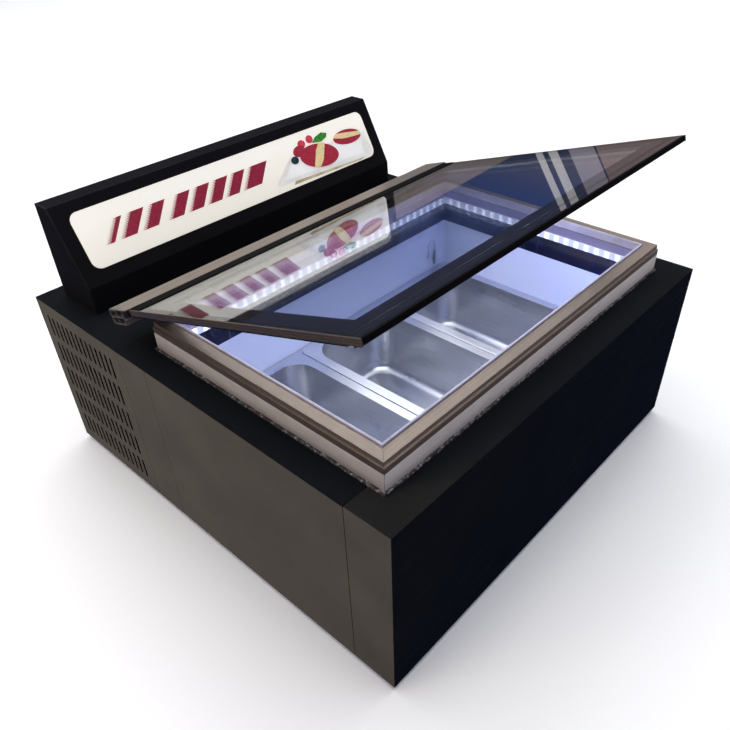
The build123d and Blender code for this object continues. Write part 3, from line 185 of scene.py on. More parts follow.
def painted_liner():
    """Prepainted aluminium liner sheet: satin white with soft dents between its bonding lines,
    and a veil of frost that thickens towards the cold floor."""
    liner, tree, shader, place = start_finish("painted_aluminium_liner", IOR=1.5)
    height = add(tree, "ShaderNodeSeparateXYZ", {0: place}).outputs[2]
    low = add(tree, "ShaderNodeMapRange", {0: height, 1: 0.24, 2: 0.06, 3: 0.0, 4: 1.0}).outputs[0]
    clouds = add(tree, "ShaderNodeTexNoise", {"Vector": place, "Scale": 1 / (60 * MM), "Detail": 5.0})
    veil = add(tree, "ShaderNodeMath", {0: low, 1: clouds.outputs[0]}, operation="MULTIPLY").outputs[0]
    tone = add(tree, "ShaderNodeMix", {0: veil, 6: paint("#CDD0DC"), 7: paint("#E4E8F2")}, data_type="RGBA")
    rough = add(tree, "ShaderNodeMapRange", {0: veil, 1: 0.0, 2: 0.6, 3: 0.3, 4: 0.6})
    dents = add(tree, "ShaderNodeTexNoise", {"Vector": place, "Scale": 1 / (45 * MM), "Detail": 1.0})
    bump = add(tree, "ShaderNodeBump", {"Strength": 0.25, "Distance": 2.0 * MM, "Height": dents.outputs[0]})
    feed(tree, shader, Base_Color=tone.outputs[2], Roughness=rough.outputs[0], Normal=bump.outputs[0])
    return liner


def gloss_band():
    """Dark blue gloss-laminated strip below the lights: mirror-like, with fine rub streaks that
    run at a slant, drawn 1.2 mm wide."""
    band, tree, shader, place = start_finish("blue_black_laminate", IOR=1.5, Coat_Weight=0.6, Coat_Roughness=0.06)
    slant = add(
        tree, "ShaderNodeMapping", {"Vector": place, "Rotation": (0.5, 0.4, 0.7), "Scale": (1.0, 1.0, 0.09)}
    ).outputs[0]
    streaks = add(tree, "ShaderNodeTexNoise", {"Vector": slant, "Scale": 1 / (5 * MM), "Detail": 6.0, "Roughness": 0.8})
    rubbed = add(tree, "ShaderNodeMapRange", {0: streaks.outputs[0], 1: 0.56, 2: 0.72, 3: 0.0, 4: 0.7}).outputs[0]
    tone = add(tree, "ShaderNodeMix", {0: rubbed, 6: paint("#0B0F2C"), 7: paint("#4A5288")}, data_type="RGBA")
    rough = add(tree, "ShaderNodeMapRange", {0: rubbed, 3: 0.12, 4: 0.4})
    feed(tree, shader, Base_Color=tone.outputs[2], Roughness=rough.outputs[0])
    return band


def drawn_stainless():
    """Deep-drawn 18/10 stainless steel: satin, polished along its length, with soft flow waves
    where the sheet was pulled over the die."""
    steel, tree, shader, place = start_finish("deep_drawn_stainless", Metallic=1.0, Anisotropic=0.45)
    brushed = add(tree, "ShaderNodeMapping", {"Vector": place, "Scale": (1.0, 0.03, 0.4)}).outputs[0]
    lines = add(tree, "ShaderNodeTexNoise", {"Vector": brushed, "Scale": 1 / (1.1 * MM), "Detail": 3.0})
    clouds = add(tree, "ShaderNodeTexNoise", {"Vector": place, "Scale": 1 / (55 * MM), "Detail": 1.0})
    tone = add(tree, "ShaderNodeMix", {0: lines.outputs[0], 6: paint("#C2C4CC"), 7: paint("#DCDEE4")}, data_type="RGBA")
    rough = add(tree, "ShaderNodeMapRange", {0: clouds.outputs[0], 1: 0.3, 2: 0.7, 3: 0.27, 4: 0.36})
    waves = add(
        tree, "ShaderNodeBump",
        {"Strength": 0.03, "Distance": 0.5 * MM, "Height": clouds.outputs[0],
         "Normal": add(tree, "ShaderNodeBump", {"Strength": 0.12, "Distance": 0.05 * MM, "Height": lines.outputs[0]}).outputs[0]},
    )
    feed(tree, shader, Base_Color=tone.outputs[2], Roughness=rough.outputs[0], Normal=waves.outputs[0])
    return steel


def foam_board():
    """Sawn PVC foam board: chalky pinkish grey, fine pores, grey smears, and darker towards its foot."""
    board, tree, shader, place = start_finish("pvc_foam_board", IOR=1.5, Specular_IOR_Level=0.35)
    height = add(tree, "ShaderNodeSeparateXYZ", {0: place}).outputs[2]
    clouds = add(tree, "ShaderNodeTexNoise", {"Vector": place, "Scale": 1 / (30 * MM), "Detail": 6.0, "Roughness": 0.65})
    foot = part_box("collar_boards_long")[0].z
    # darker towards the foot, over the lowest 12 mm of the boards
    low = add(tree, "ShaderNodeMapRange", {0: height, 1: foot + 12 * MM, 2: foot + 1 * MM, 3: 0.0, 4: 1.0}).outputs[0]
    darker_at_foot = add(tree, "ShaderNodeMath", {0: low, 1: clouds.outputs[0]}, operation="MULTIPLY").outputs[0]
    tone = add(tree, "ShaderNodeMix", {0: clouds.outputs[0], 6: paint("#A19C9B"), 7: paint("#BFBAB8")}, data_type="RGBA")
    foot_darkened = add(tree, "ShaderNodeMix", {0: darker_at_foot, 6: tone.outputs[2], 7: paint("#564C50")}, data_type="RGBA")
    pores = add(tree, "ShaderNodeTexNoise", {"Vector": place, "Scale": 1 / (1.2 * MM), "Detail": 2.0})
    bump = add(
        tree, "ShaderNodeBump",
        {"Strength": 0.4, "Distance": 0.2 * MM, "Height": pores.outputs[0],
         "Normal": add(tree, "ShaderNodeBevel", {"Radius": 0.6 * MM}, samples=4).outputs[0]},
    )
    rough = add(tree, "ShaderNodeMapRange", {0: clouds.outputs[0], 3: 0.45, 4: 0.7})
    feed(tree, shader, Base_Color=foot_darkened.outputs[2], Roughness=rough.outputs[0], Normal=bump.outputs[0])
    return board


def anodised_extrusion(name, dark, light, along, rough=0.34, painted_tub_light=None):
    """Extruded and anodised aluminium: satin metal with hair-fine die lines that run its length,
    brighter golden lines 4 mm apart, and corners painted lighter as a painted highlight. A painted
    light colour covers the stepped faces that look at the tub: milky lavender, standing in for the tub's lights on
    them."""
    metal, tree, shader, place = start_finish(name, Metallic=0.85)
    stretch = (0.0, 1.0, 1.0) if along == "x" else (1.0, 0.0, 1.0)
    lengthwise = add(tree, "ShaderNodeMapping", {"Vector": place, "Scale": stretch}).outputs[0]
    lines = add(tree, "ShaderNodeTexNoise", {"Vector": lengthwise, "Scale": 1 / (0.9 * MM), "Detail": 2.0})
    bands = add(tree, "ShaderNodeTexNoise", {"Vector": lengthwise, "Scale": 1 / (4 * MM), "Detail": 3.0})
    clouds = add(tree, "ShaderNodeTexNoise", {"Vector": place, "Scale": 1 / (55 * MM), "Detail": 3.0})
    amount = add(tree, "ShaderNodeMapRange", {0: lines.outputs[0], 1: 0.25, 2: 0.75, 3: 0.0, 4: 1.0}).outputs[0]
    tone = add(tree, "ShaderNodeMix", {0: amount, 6: paint(dark), 7: paint(light)}, data_type="RGBA")
    gold = add(tree, "ShaderNodeMapRange", {0: bands.outputs[0], 1: 0.58, 2: 0.66, 3: 0.0, 4: 0.55}).outputs[0]
    lined = add(tree, "ShaderNodeMix", {0: gold, 6: tone.outputs[2], 7: paint("#B39A78")}, data_type="RGBA")
    # corners mixed to the light tone: painted highlight
    shown = add(
        tree, "ShaderNodeMix", {0: edge_mask(tree, 0.7 * MM), 6: lined.outputs[2], 7: paint(light)}, data_type="RGBA"
    )
    # faces towards the tub tinted lavender: painted light from the tub's diode strips
    if painted_tub_light:
        shown = add(
            tree, "ShaderNodeMix",
            {0: towards_tub(tree, place, along), 6: shown.outputs[2], 7: paint(painted_tub_light)}, data_type="RGBA",
        )
    gloss = add(tree, "ShaderNodeMapRange", {0: clouds.outputs[0], 3: rough - 0.05, 4: rough + 0.08})
    bump = add(
        tree, "ShaderNodeBump",
        {"Strength": 0.3, "Distance": 0.06 * MM, "Height": lines.outputs[0],
         "Normal": add(tree, "ShaderNodeBevel", {"Radius": 0.5 * MM}, samples=4).outputs[0]},
    )
    feed(tree, shader, Base_Color=shown.outputs[2], Roughness=gloss.outputs[0], Normal=bump.outputs[0])
    return metal


def towards_tub(tree, place, along):
    """1 on faces that look at the middle of the tub, 0 elsewhere."""
    low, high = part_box("tub_liner")
    axis = 1 if along == "x" else 0
    middle = (low[axis] + high[axis]) / 2
    where = add(tree, "ShaderNodeSeparateXYZ", {0: place}).outputs[axis]
    facing = add(
        tree, "ShaderNodeSeparateXYZ", {0: add(tree, "ShaderNodeNewGeometry").outputs["True Normal"]}
    ).outputs[axis]
    offset = add(tree, "ShaderNodeMath", {0: middle, 1: where}, operation="SUBTRACT").outputs[0]
    side = add(tree, "ShaderNodeMath", {0: offset}, operation="SIGN").outputs[0]
    inward = add(tree, "ShaderNodeMath", {0: facing, 1: side}, operation="MULTIPLY").outputs[0]
    return add(tree, "ShaderNodeMath", {0: inward, 1: 0.3}, operation="GREATER_THAN").outputs[0]


def lit_diffuser():
    """Milky polycarbonate cover over cold-white diodes 16.7 mm apart: bluish white with a bright
    bead at each diode."""
    cover, tree, shader, place = start_finish("lit_polycarbonate_diffuser", Roughness=0.4)
    shader.inputs["Base Color"].default_value = paint("#AEB4CC")
    shader.inputs["Emission Color"].default_value = paint("#DDE4FF")
    across = add(tree, "ShaderNodeSeparateXYZ", {0: add(tree, "ShaderNodeNewGeometry").outputs["True Normal"]})
    where = add(tree, "ShaderNodeSeparateXYZ", {0: place})
    turned = add(tree, "ShaderNodeMath", {0: across.outputs[0], 1: 0.5}, operation="GREATER_THAN")
    turned_back = add(tree, "ShaderNodeMath", {0: across.outputs[0], 1: -0.5}, operation="LESS_THAN")
    short_side = add(tree, "ShaderNodeMath", {0: turned.outputs[0], 1: turned_back.outputs[0]}, operation="MAXIMUM")
    run = add(tree, "ShaderNodeMix", {0: short_side.outputs[0], 2: where.outputs[0], 3: where.outputs[1]})
    beads = add(tree, "ShaderNodeMath", {0: run.outputs[0], 1: math.tau / (16.7 * MM)}, operation="MULTIPLY")
    wave = add(tree, "ShaderNodeMath", {0: beads.outputs[0]}, operation="SINE")
    power = add(tree, "ShaderNodeMapRange", {0: wave.outputs[0], 1: -0.2, 2: 1.0, 3: 0.45, 4: 1.6})
    feed(tree, shader, Emission_Strength=power.outputs[0])
    return cover


def opal_acrylic():
    """Cast opal acrylic, lit from behind: warm off-white, glossy, slightly brighter in front of
    the two light bars."""
    opal, tree, shader, place = start_finish("opal_acrylic", IOR=1.49, Roughness=0.18)
    height = add(tree, "ShaderNodeSeparateXYZ", {0: place}).outputs[2]
    clouds = add(tree, "ShaderNodeTexNoise", {"Vector": place, "Scale": 1 / (120 * MM), "Detail": 2.0})
    tone = add(tree, "ShaderNodeMix", {0: clouds.outputs[0], 6: paint("#EFEBE0"), 7: paint("#F8F5EC")}, data_type="RGBA")
    glow = add(tree, "ShaderNodeMapRange", {0: height, 1: 0.315, 2: 0.36, 3: 0.24, 4: 0.34})
    shader.inputs["Emission Color"].default_value = paint("#FFF6E4")
    feed(tree, shader, Base_Color=tone.outputs[2], Emission_Strength=glow.outputs[0])
    return opal


def float_glass(name, tint):
    """Clear float glass, 3 mm: sharp reflections, a faint blue-grey tint, wiped with a cloth
    that left almost invisible smears. Lamps shine through it."""
    glass, tree, shader, place = start_finish(name, IOR=1.36, Transmission_Weight=1.0)
    shader.inputs["Base Color"].default_value = paint(tint)
    smears = add(
        tree, "ShaderNodeTexNoise",
        {"Vector": add(tree, "ShaderNodeMapping", {"Vector": place, "Rotation": (0.0, 0.0, 0.6), "Scale": (1.0, 0.2, 1.0)}).outputs[0],
         "Scale": 1 / (60 * MM), "Detail": 5.0},
    )
    rough = add(tree, "ShaderNodeMapRange", {0: smears.outputs[0], 1: 0.5, 2: 0.8, 3: 0.0, 4: 0.004})
    feed(tree, shader, Roughness=rough.outputs[0])
    clear = add(tree, "ShaderNodeBsdfTransparent", {"Color": paint(tint)})
    shadow = add(tree, "ShaderNodeLightPath").outputs["Is Shadow Ray"]
    both = add(tree, "ShaderNodeMixShader", {0: shadow, 1: shader.outputs[0], 2: clear.outputs[0]})
    tree.links.new(both.outputs[0], tree.nodes["Material Output"].inputs["Surface"])
    return glass


def ceramic_ink():
    """Screen-printed ceramic ink fired on the inside of the glass: brown-black, level, with tiny
    pinholes 1.5 mm apart at most."""
    ink, tree, shader, place = start_finish("fired_ceramic_ink", IOR=1.5, Specular_IOR_Level=0.03)
    pins = add(tree, "ShaderNodeTexNoise", {"Vector": place, "Scale": 1 / (1.5 * MM), "Detail": 2.0})
    tone = add(tree, "ShaderNodeMix", {0: pins.outputs[0], 6: paint("#131012"), 7: paint("#1D191B")}, data_type="RGBA")
    rough = add(tree, "ShaderNodeMapRange", {0: pins.outputs[0], 3: 0.35, 4: 0.55})
    feed(tree, shader, Base_Color=tone.outputs[2], Roughness=rough.outputs[0])
    return ink


def copper_tube():
    """Drawn copper tube: warm metal, browned in patches where it has oxidised."""
    copper, tree, shader, place = start_finish("drawn_copper", Metallic=1.0)
    patches = add(tree, "ShaderNodeTexNoise", {"Vector": place, "Scale": 1 / (18 * MM), "Detail": 4.0})
    tone = add(tree, "ShaderNodeMix", {0: patches.outputs[0], 6: paint("#8A4E30"), 7: paint("#D68A62")}, data_type="RGBA")
    rough = add(tree, "ShaderNodeMapRange", {0: patches.outputs[0], 3: 0.5, 4: 0.22})
    feed(tree, shader, Base_Color=tone.outputs[2], Roughness=rough.outputs[0])
    return copper


def mill_metal(name, dark, light, rough, size=6 * MM):
    """Plain rolled or plated metal: even, with a cloudy change of tone and roughness."""
    metal, tree, shader, place = start_finish(name, Metallic=1.0)
    clouds = add(tree, "ShaderNodeTexNoise", {"Vector": place, "Scale": 1 / size, "Detail": 4.0})
    tone = add(tree, "ShaderNodeMix", {0: clouds.outputs[0], 6: paint(dark), 7: paint(light)}, data_type="RGBA")
    gloss = add(tree, "ShaderNodeMapRange", {0: clouds.outputs[0], 3: rough - 0.08, 4: rough + 0.12})
    feed(tree, shader, Base_Color=tone.outputs[2], Roughness=gloss.outputs[0])
    return metal


def smeared_sealant():
    """Hand-run silicone over foam squeeze-out: dark rubbery bead with chalk-white crumbs caught
    in it, 3 mm across."""
    bead, tree, shader, place = start_finish("smeared_silicone", IOR=1.43)
    crumbs = add(tree, "ShaderNodeTexNoise", {"Vector": place, "Scale": 1 / (4 * MM), "Detail": 5.0, "Roughness": 0.7})
    white = add(tree, "ShaderNodeMapRange", {0: crumbs.outputs[0], 1: 0.52, 2: 0.66, 3: 0.0, 4: 0.8}).outputs[0]
    tone = add(tree, "ShaderNodeMix", {0: white, 6: paint("#17171B"), 7: paint("#B9B2B4")}, data_type="RGBA")
    rough = add(tree, "ShaderNodeMapRange", {0: white, 3: 0.35, 4: 0.8})
    bump = add(tree, "ShaderNodeBump", {"Distance": 0.8 * MM, "Height": crumbs.outputs[0]})
    feed(tree, shader, Base_Color=tone.outputs[2], Roughness=rough.outputs[0], Normal=bump.outputs[0])
    return bead


def printed_ink(name, dark, light, grain=1.6 * MM, rough=0.3):
    """Translucent ink printed on the lit panel: two close tones in a soft mottle, with a little of
    the panel's light coming through."""
    ink, tree, shader, place = start_finish(name, IOR=1.49)
    mottle = add(tree, "ShaderNodeTexNoise", {"Vector": place, "Scale": 1 / grain, "Detail": 3.0, "Roughness": 0.7})
    amount = add(tree, "ShaderNodeMapRange", {0: mottle.outputs[0], 1: 0.35, 2: 0.65, 3: 0.0, 4: 1.0}).outputs[0]
    tone = add(tree, "ShaderNodeMix", {0: amount, 6: paint(dark), 7: paint(light)}, data_type="RGBA")
    gloss = add(tree, "ShaderNodeMapRange", {0: amount, 3: rough, 4: rough + 0.12})
    shader.inputs["Emission Strength"].default_value = 0.22
    feed(
        tree, shader, Base_Color=tone.outputs[2], Roughness=gloss.outputs[0], Emission_Color=tone.outputs[2]
    )
    return ink


# the last colour of each coat is its edge colour: rubbed wear and painted highlight, lightest on the sign housing
BLACK_PANEL = powder_coat("black_powder_coat", "#101215", "#181A1D", "#1A1815")
SIGN_COAT = powder_coat("sign_powder_coat", "#131316", "#1B1A1D", "#4A4540", rough=0.48)
ENAMEL = powder_coat("black_stove_enamel", "#0E0E10", "#191919", "#2A2A2A", rough=0.3)
GALVANISED = galvanised_steel()
RUBBER = moulded_plastic("moulded_rubber", "#141414", 0.75, level=0.3)
FOAM = polyurethane_foam()
LINER = painted_liner()
BAND = gloss_band()
STAINLESS = drawn_stainless()
BOARD = foam_board()
# B9B2D8 is painted light: the tub's cold glow on the rims' tub-facing faces
RIM_LONG = anodised_extrusion("champagne_anodised_long", "#7C7068", "#9C8E82", "x", rough=0.42, painted_tub_light="#B9B2D8")
RIM_SHORT = anodised_extrusion("champagne_anodised_short", "#7C7068", "#9C8E82", "y", rough=0.42, painted_tub_light="#B9B2D8")
TRIM = anodised_extrusion("bronze_anodised_trim", "#61564A", "#94836F", "y")
BAR = anodised_extrusion("grey_anodised_bar", "#7E756E", "#AFA69D", "x", rough=0.4)
# the lip's pale lavender-white colour is a painted highlight along the rim's inner edge
LIP_HIGHLIGHT = moulded_plastic("extruded_white_pvc", "#C2BDD2", 0.4)
DIFFUSER = lit_diffuser()
CHANNEL = mill_metal("mill_aluminium", "#A0A2A6", "#C6C8CC", 0.35)
FINS = mill_metal("rolled_aluminium_fin", "#A9ACB0", "#D4D6D8", 0.3)
PLATED = mill_metal("zinc_plated_steel", "#9A9A92", "#C4C4BC", 0.32, 4 * MM)
OPAL = opal_acrylic()
GLASS = float_glass("clear_float_glass", "#FAFCFE")
INK = ceramic_ink()
SEAL = moulded_plastic("extruded_black_epdm", "#0B0B0C", 0.7, level=0.04)
SPACER = moulded_plastic("black_butyl_spacer", "#0E0D0E", 0.5, level=0.3)
STRIP = moulded_plastic("black_pvc_strip", "#0A0A0C", 0.5, level=0.05)
GASKET = moulded_plastic("grey_silicone_gasket", "#B7B6B4", 0.5)
COPPER = copper_tube()
ABS = moulded_plastic("moulded_black_abs", "#17171A", 0.42)
RED_ABS = moulded_plastic("moulded_red_abs", "#A01818", 0.28)
CABLE = moulded_plastic("white_pvc_lead", "#C9CBD2", 0.4)
BUMPER = moulded_plastic("clear_polyurethane", "#D9DCE0", 0.2)
SEALANT = smeared_sealant()
RED_INK = printed_ink("dark_red_print", "#7E1730", "#A02A44", 2.5 * MM)
PORCELAIN_INK = printed_ink("plate_print", "#E2E0DC", "#F2F0EC", 30 * MM)
WELL_INK = printed_ink("plate_well_print", "#F4F3F0", "#FFFFFF", 30 * MM)
SHADE_INK = printed_ink("plate_shade_print", "#A89468", "#D8CDB0", 20 * MM)
BERRY_INK = printed_ink("berry_print", "#7A0E22", "#C23A50")
RED_BERRY_INK = printed_ink("currant_print", "#B01830", "#E8556A")
CREAM_INK = printed_ink("cream_print", "#D8BC7C", "#F4E4B4")
LEAF_INK = printed_ink("leaf_print", "#12641C", "#4CA03A", 4 * MM)
NAVY_INK = printed_ink("bilberry_print", "#0E2028", "#2A4450", 4 * MM)

FINISH_OF = {
    BLACK_PANEL: "front_cover side_panel_left side_panel_right filler_strips louvre_panel_left "
    "louvre_panel_right rear_panel deck_middle deck_rear",
    SIGN_COAT: "sign_housing sign_ends sign_back",
    ENAMEL: "compressor",
    GALVANISED: "base_tray machine_bulkhead fan_shroud evaporator_plates",
    RUBBER: "rubber_feet compressor_mounts",
    FOAM: "foam_front foam_rear foam_sides foam_floor",
    LINER: "tub_liner",
    BAND: "glare_bands",
    STAINLESS: "pan_left pan_middle pan_right pan_rails pan_crossbars",
    BOARD: "collar_boards_long collar_boards_short",
    RIM_LONG: "rim_profiles_long",
    RIM_SHORT: "rim_profiles_short",
    TRIM: "lid_side_trims",
    BAR: "lid_hinge_profile",
    LIP_HIGHLIGHT: "rim_lip",
    DIFFUSER: "led_diffusers",
    CHANNEL: "led_channels sign_led_bars",
    FINS: "condenser",
    PLATED: "screws hinge_brackets hinge_pins lid_hinge_leaves sensor_probe",
    OPAL: "sign_panel",
    GLASS: "lid_glass_top lid_glass_bottom",
    SPACER: "lid_spacer",
    STRIP: "lid_front_strip",
    GASKET: "lid_gasket",
    COPPER: "refrigerant_lines",
    ABS: "fan_blade fan_motor control_box thermostat_knob power_inlet",
    RED_ABS: "rocker_switch",
    CABLE: "sensor_lead",
}
for finish, names in FINISH_OF.items():
    for node in names.split():
        NODES[node].data.materials.clear()
        NODES[node].data.materials.append(finish)


# ---------------------------------------------------------------- modelling helpers
HINGE = next(j for j in frame["record"]["behaviour"]["joints"] if j["name"] == "lid_hinge")
HINGE_PLACE = Matrix.Translation(Vector(HINGE["pos_m"]))
RAISE_LID = (
    HINGE_PLACE
    @ Matrix.Rotation(-math.radians(HINGE["range_deg"][0]), 4, Vector(HINGE["axis"]))
    @ HINGE_PLACE.inverted()
)


def closed_box(node):
    """Corners of a lid node with the lid shut."""
    back = RAISE_LID.inverted()
    corners = [back @ v.co for v in NODES[node].data.vertices]
    low = Vector([min(c[i] for c in corners) for i in range(3)])
    high = Vector([max(c[i] for c in corners) for i in range(3)])
    return low, high


def sign_face():
    """Frame on the light panel: x along it, y up its slope from the window's lower edge, z out."""
    mesh = NODES["sign_panel"].data
    faces = [f for f in mesh.polygons if f.normal.y < -0.6 and f.normal.z > 0.3]
    out = max(faces, key=lambda f: f.area).normal.copy()
    level = max(f.center.dot(out) for f in faces)
    up = out.cross(Vector((1, 0, 0)))
    front = [v.co for v in mesh.vertices if abs(v.co.dot(out) - level) < 0.05 * MM]
    low = min(v.dot(up) for v in front)
    return Matrix((
        (1, up.x, out.x, 0),
        (0, up.y, out.y, up.y * low + out.y * level),
        (0, up.z, out.z, up.z * low + out.z * level),
        (0, 0, 0, 1),
    ))


def open_up(piece):
    bpy.ops.object.select_all(action="DESELECT")
    piece.select_set(True)
    bpy.context.view_layer.objects.active = piece
    bpy.ops.object.mode_set(mode="EDIT")


def close_up():
    bpy.ops.object.mode_set(mode="OBJECT")


def pick(piece, kind, test):
    """In edit mode, selects only the faces, edges or vertices whose middle passes the test."""
    bpy.context.tool_settings.mesh_select_mode = (kind == "verts", kind == "edges", kind == "faces")
    mesh = bmesh.from_edit_mesh(piece.data)
    for group in (mesh.verts, mesh.edges, mesh.faces):
        for item in group:
            item.select = False
    for item in getattr(mesh, kind):
        corners = [item] if kind == "verts" else item.verts
        middle = sum((v.co for v in corners), Vector()) / len(corners)
        item.select = test(middle)
    mesh.select_flush_mode()
    bmesh.update_edit_mesh(piece.data)


def plane(name, x0, x1, y0, y1, z):
    bpy.ops.object.select_all(action="DESELECT")
    bpy.ops.mesh.primitive_plane_add(size=1, location=((x0 + x1) / 2, (y0 + y1) / 2, z))
    piece = bpy.context.object
    piece.name = name
    piece.scale = (x1 - x0, y1 - y0, 1)
    bpy.ops.object.transform_apply(location=True, rotation=True, scale=True)
    return piece


def disc(name, x, y, z, radius, sides=48):
    bpy.ops.object.select_all(action="DESELECT")
    bpy.ops.mesh.primitive_circle_add(vertices=sides, radius=radius, fill_type="NGON", location=(x, y, z))
    piece = bpy.context.object
    piece.name = name
    bpy.ops.object.transform_apply(location=True, rotation=True, scale=True)
    return piece


def thicken(piece, height):
    """Gives a flat sheet a thickness along +Z and makes every face point outwards."""
    open_up(piece)
    bpy.ops.mesh.select_all(action="SELECT")
    bpy.ops.mesh.extrude_region_move(TRANSFORM_OT_translate={"value": (0, 0, height)})
    bpy.ops.mesh.select_all(action="SELECT")
    bpy.ops.mesh.normals_make_consistent(inside=False)
    close_up()


def put(piece, matrix):
    """Turns a piece drawn flat into its place and leaves its object at the origin."""
    bpy.ops.object.select_all(action="DESELECT")
    piece.select_set(True)
    bpy.context.view_layer.objects.active = piece
    piece.matrix_world = matrix @ piece.matrix_world
    bpy.ops.object.transform_apply(location=True, rotation=True, scale=True)


def copy_of(piece, name, offset):
    made = piece.copy()
    made.data = piece.data.copy()
    made.name = name
    bpy.context.collection.objects.link(made)
    put(made, Matrix.Translation(Vector(offset)))
    return made


def one_piece(name, pieces):
    bpy.ops.object.select_all(action="DESELECT")
    for piece in pieces:
        piece.select_set(True)
    bpy.context.view_layer.objects.active = pieces[0]
    if len(pieces) > 1:
        bpy.ops.object.join()
    pieces[0].name = name
    pieces[0].data.name = name
    return pieces[0]


def done(piece, finish, body):
    piece.data.materials.clear()
    piece.data.materials.append(finish)
    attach(piece, body)
    return piece


# ---------------------------------------------------------------- lid details
def ink_border():
    """Black ink border on the inside of the upper pane, wide along the hinge."""
    low, high = closed_box("lid_glass_top")
    bar_front = closed_box("lid_hinge_profile")[0].y
    cover = 9.2 * MM
    side, front, hinge = 31 * MM, 37 * MM, 36 * MM
    x1 = high.x - cover
    y0, y1 = closed_box("lid_spacer")[0].y + cover, high.y - cover
    border = plane("lid_ink_border", -x1, x1, y0, y1, low.z - 0.35 * MM)
    width = side - cover
    open_up(border)
    bpy.ops.mesh.select_all(action="SELECT")
    bpy.ops.mesh.inset(thickness=width)
    pick(border, "verts", lambda p: abs(p.x) < x1 - width / 2 and p.y < y0 + width * 1.5)
    bpy.ops.transform.translate(value=(0, low.y + front - (y0 + width), 0))
    pick(border, "verts", lambda p: abs(p.x) < x1 - width / 2 and p.y > 0)
    bpy.ops.transform.translate(value=(0, (bar_front - hinge) - (y1 - width), 0))
    pick(border, "faces", lambda p: abs(p.x) < 1 * MM and low.y + front + 2 * MM < p.y < bar_front - hinge - 2 * MM)
    bpy.ops.mesh.delete(type="FACE")
    close_up()
    thicken(border, 0.3 * MM)
    edge = plane("lid_ink_edge", low.x, high.x, low.y, closed_box("lid_spacer")[0].y - 0.3 * MM, low.z - 0.35 * MM)
    thicken(edge, 0.3 * MM)
    border = one_piece("lid_ink_border", [border, edge])
    put(border, RAISE_LID)
    return done(border, INK, "lid")


def hinge_seal():
    """Flat black rubber seal on the upper pane, against the hinge bar."""
    low, high = closed_box("lid_glass_top")
    bar_front = closed_box("lid_hinge_profile")[0].y
    seal = plane("lid_hinge_seal", low.x, high.x, bar_front - 24 * MM, bar_front - 0.3 * MM, high.z + 0.05 * MM)
    thicken(seal, 0.9 * MM)
    open_up(seal)
    pick(seal, "edges", lambda p: p.y < bar_front - 23.9 * MM and p.z > high.z + 0.9 * MM)
    bpy.ops.mesh.bevel(offset=0.5 * MM, segments=3, affect="EDGES")
    close_up()
    put(seal, RAISE_LID)
    return done(seal, SEAL, "lid")


def lid_bumpers():
    """Clear rubber bumpers under the front corners, that land on the collar's rim."""
    rim_low, rim_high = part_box("rim_profiles_long")
    pane = closed_box("lid_glass_bottom")[0]
    radius = 4.5 * MM
    top = pane.z - 0.02 * MM
    bottom = rim_high.z + 0.5 * MM
    left = disc("bumper", rim_low.x + 7 * MM, rim_low.y + 7 * MM, bottom, radius, 32)
    thicken(left, top - bottom)
    open_up(left)
    pick(left, "edges", lambda p: abs(p.z - bottom) < 0.01 * MM)
    bpy.ops.mesh.bevel(offset=1.2 * MM, segments=4, affect="EDGES")
    close_up()
    right = copy_of(left, "bumper_right", (2 * (-rim_low.x - 7 * MM), 0, 0))
    pair = one_piece("lid_bumpers", [left, right])
    put(pair, RAISE_LID)
    return done(pair, BUMPER, "lid")


# ---------------------------------------------------------------- sealant at the collar's foot
def sealant_bead():
    """Uneven bead where the collar boards meet the deck."""
    low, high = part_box("collar_boards_long")
    short_low, short_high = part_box("collar_boards_short")
    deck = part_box("deck_middle")[1].z
    gap, wide, tall = 0.1 * MM, 3.4 * MM, 2.6 * MM
    x1 = max(high.x, short_high.x) + gap
    y0 = min(low.y, short_low.y) - gap
    y1 = max(high.y, short_high.y) + gap
    bead = plane("collar_sealant_bead", -x1 - wide, x1 + wide, y0 - wide, y1 + wide, deck + 0.1 * MM)
    open_up(bead)
    bpy.ops.mesh.select_all(action="SELECT")
    bpy.ops.mesh.inset(thickness=wide)
    pick(bead, "faces", lambda p: abs(p.x) < x1 / 2 and y0 + wide < p.y < y1 - wide)
    bpy.ops.mesh.delete(type="FACE")
    close_up()
    thicken(bead, tall)
    open_up(bead)
    outer = x1 + wide * 0.9
    pick(bead, "edges", lambda p: p.z > deck + tall * 0.9 and (abs(p.x) > outer or p.y < y0 - wide * 0.9 or p.y > y1 + wide * 0.9))
    bpy.ops.mesh.bevel(offset=2.2 * MM, segments=3, affect="EDGES")
    bpy.ops.mesh.select_all(action="SELECT")
    for cut in range(6):
        mesh = bmesh.from_edit_mesh(bead.data)
        for edge in mesh.edges:
            edge.select = edge.calc_length() > 7 * MM
        mesh.select_flush_mode()
        bmesh.update_edit_mesh(bead.data)
        bpy.ops.mesh.subdivide(number_cuts=1)
    close_up()
    lumps = bpy.data.textures.new("bead_lumps", "CLOUDS")
    lumps.noise_scale = 9 * MM
    uneven = bead.modifiers.new("uneven", "DISPLACE")
    uneven.texture = lumps
    uneven.texture_coords = "LOCAL"
    uneven.direction = "Z"
    uneven.mid_level = 0.62
    uneven.strength = 3.0 * MM
    group = bead.vertex_groups.new(name="top")
    group.add([v.index for v in bead.data.vertices if v.co.z > deck + 1.2 * MM], 1.0, "REPLACE")
    uneven.vertex_group = "top"
    bpy.ops.object.modifier_apply(modifier="uneven")
    return done(bead, SEALANT, "cabinet")


# ---------------------------------------------------------------- print on the light panel
SIGN = sign_face()
LAYER = 0.06 * MM


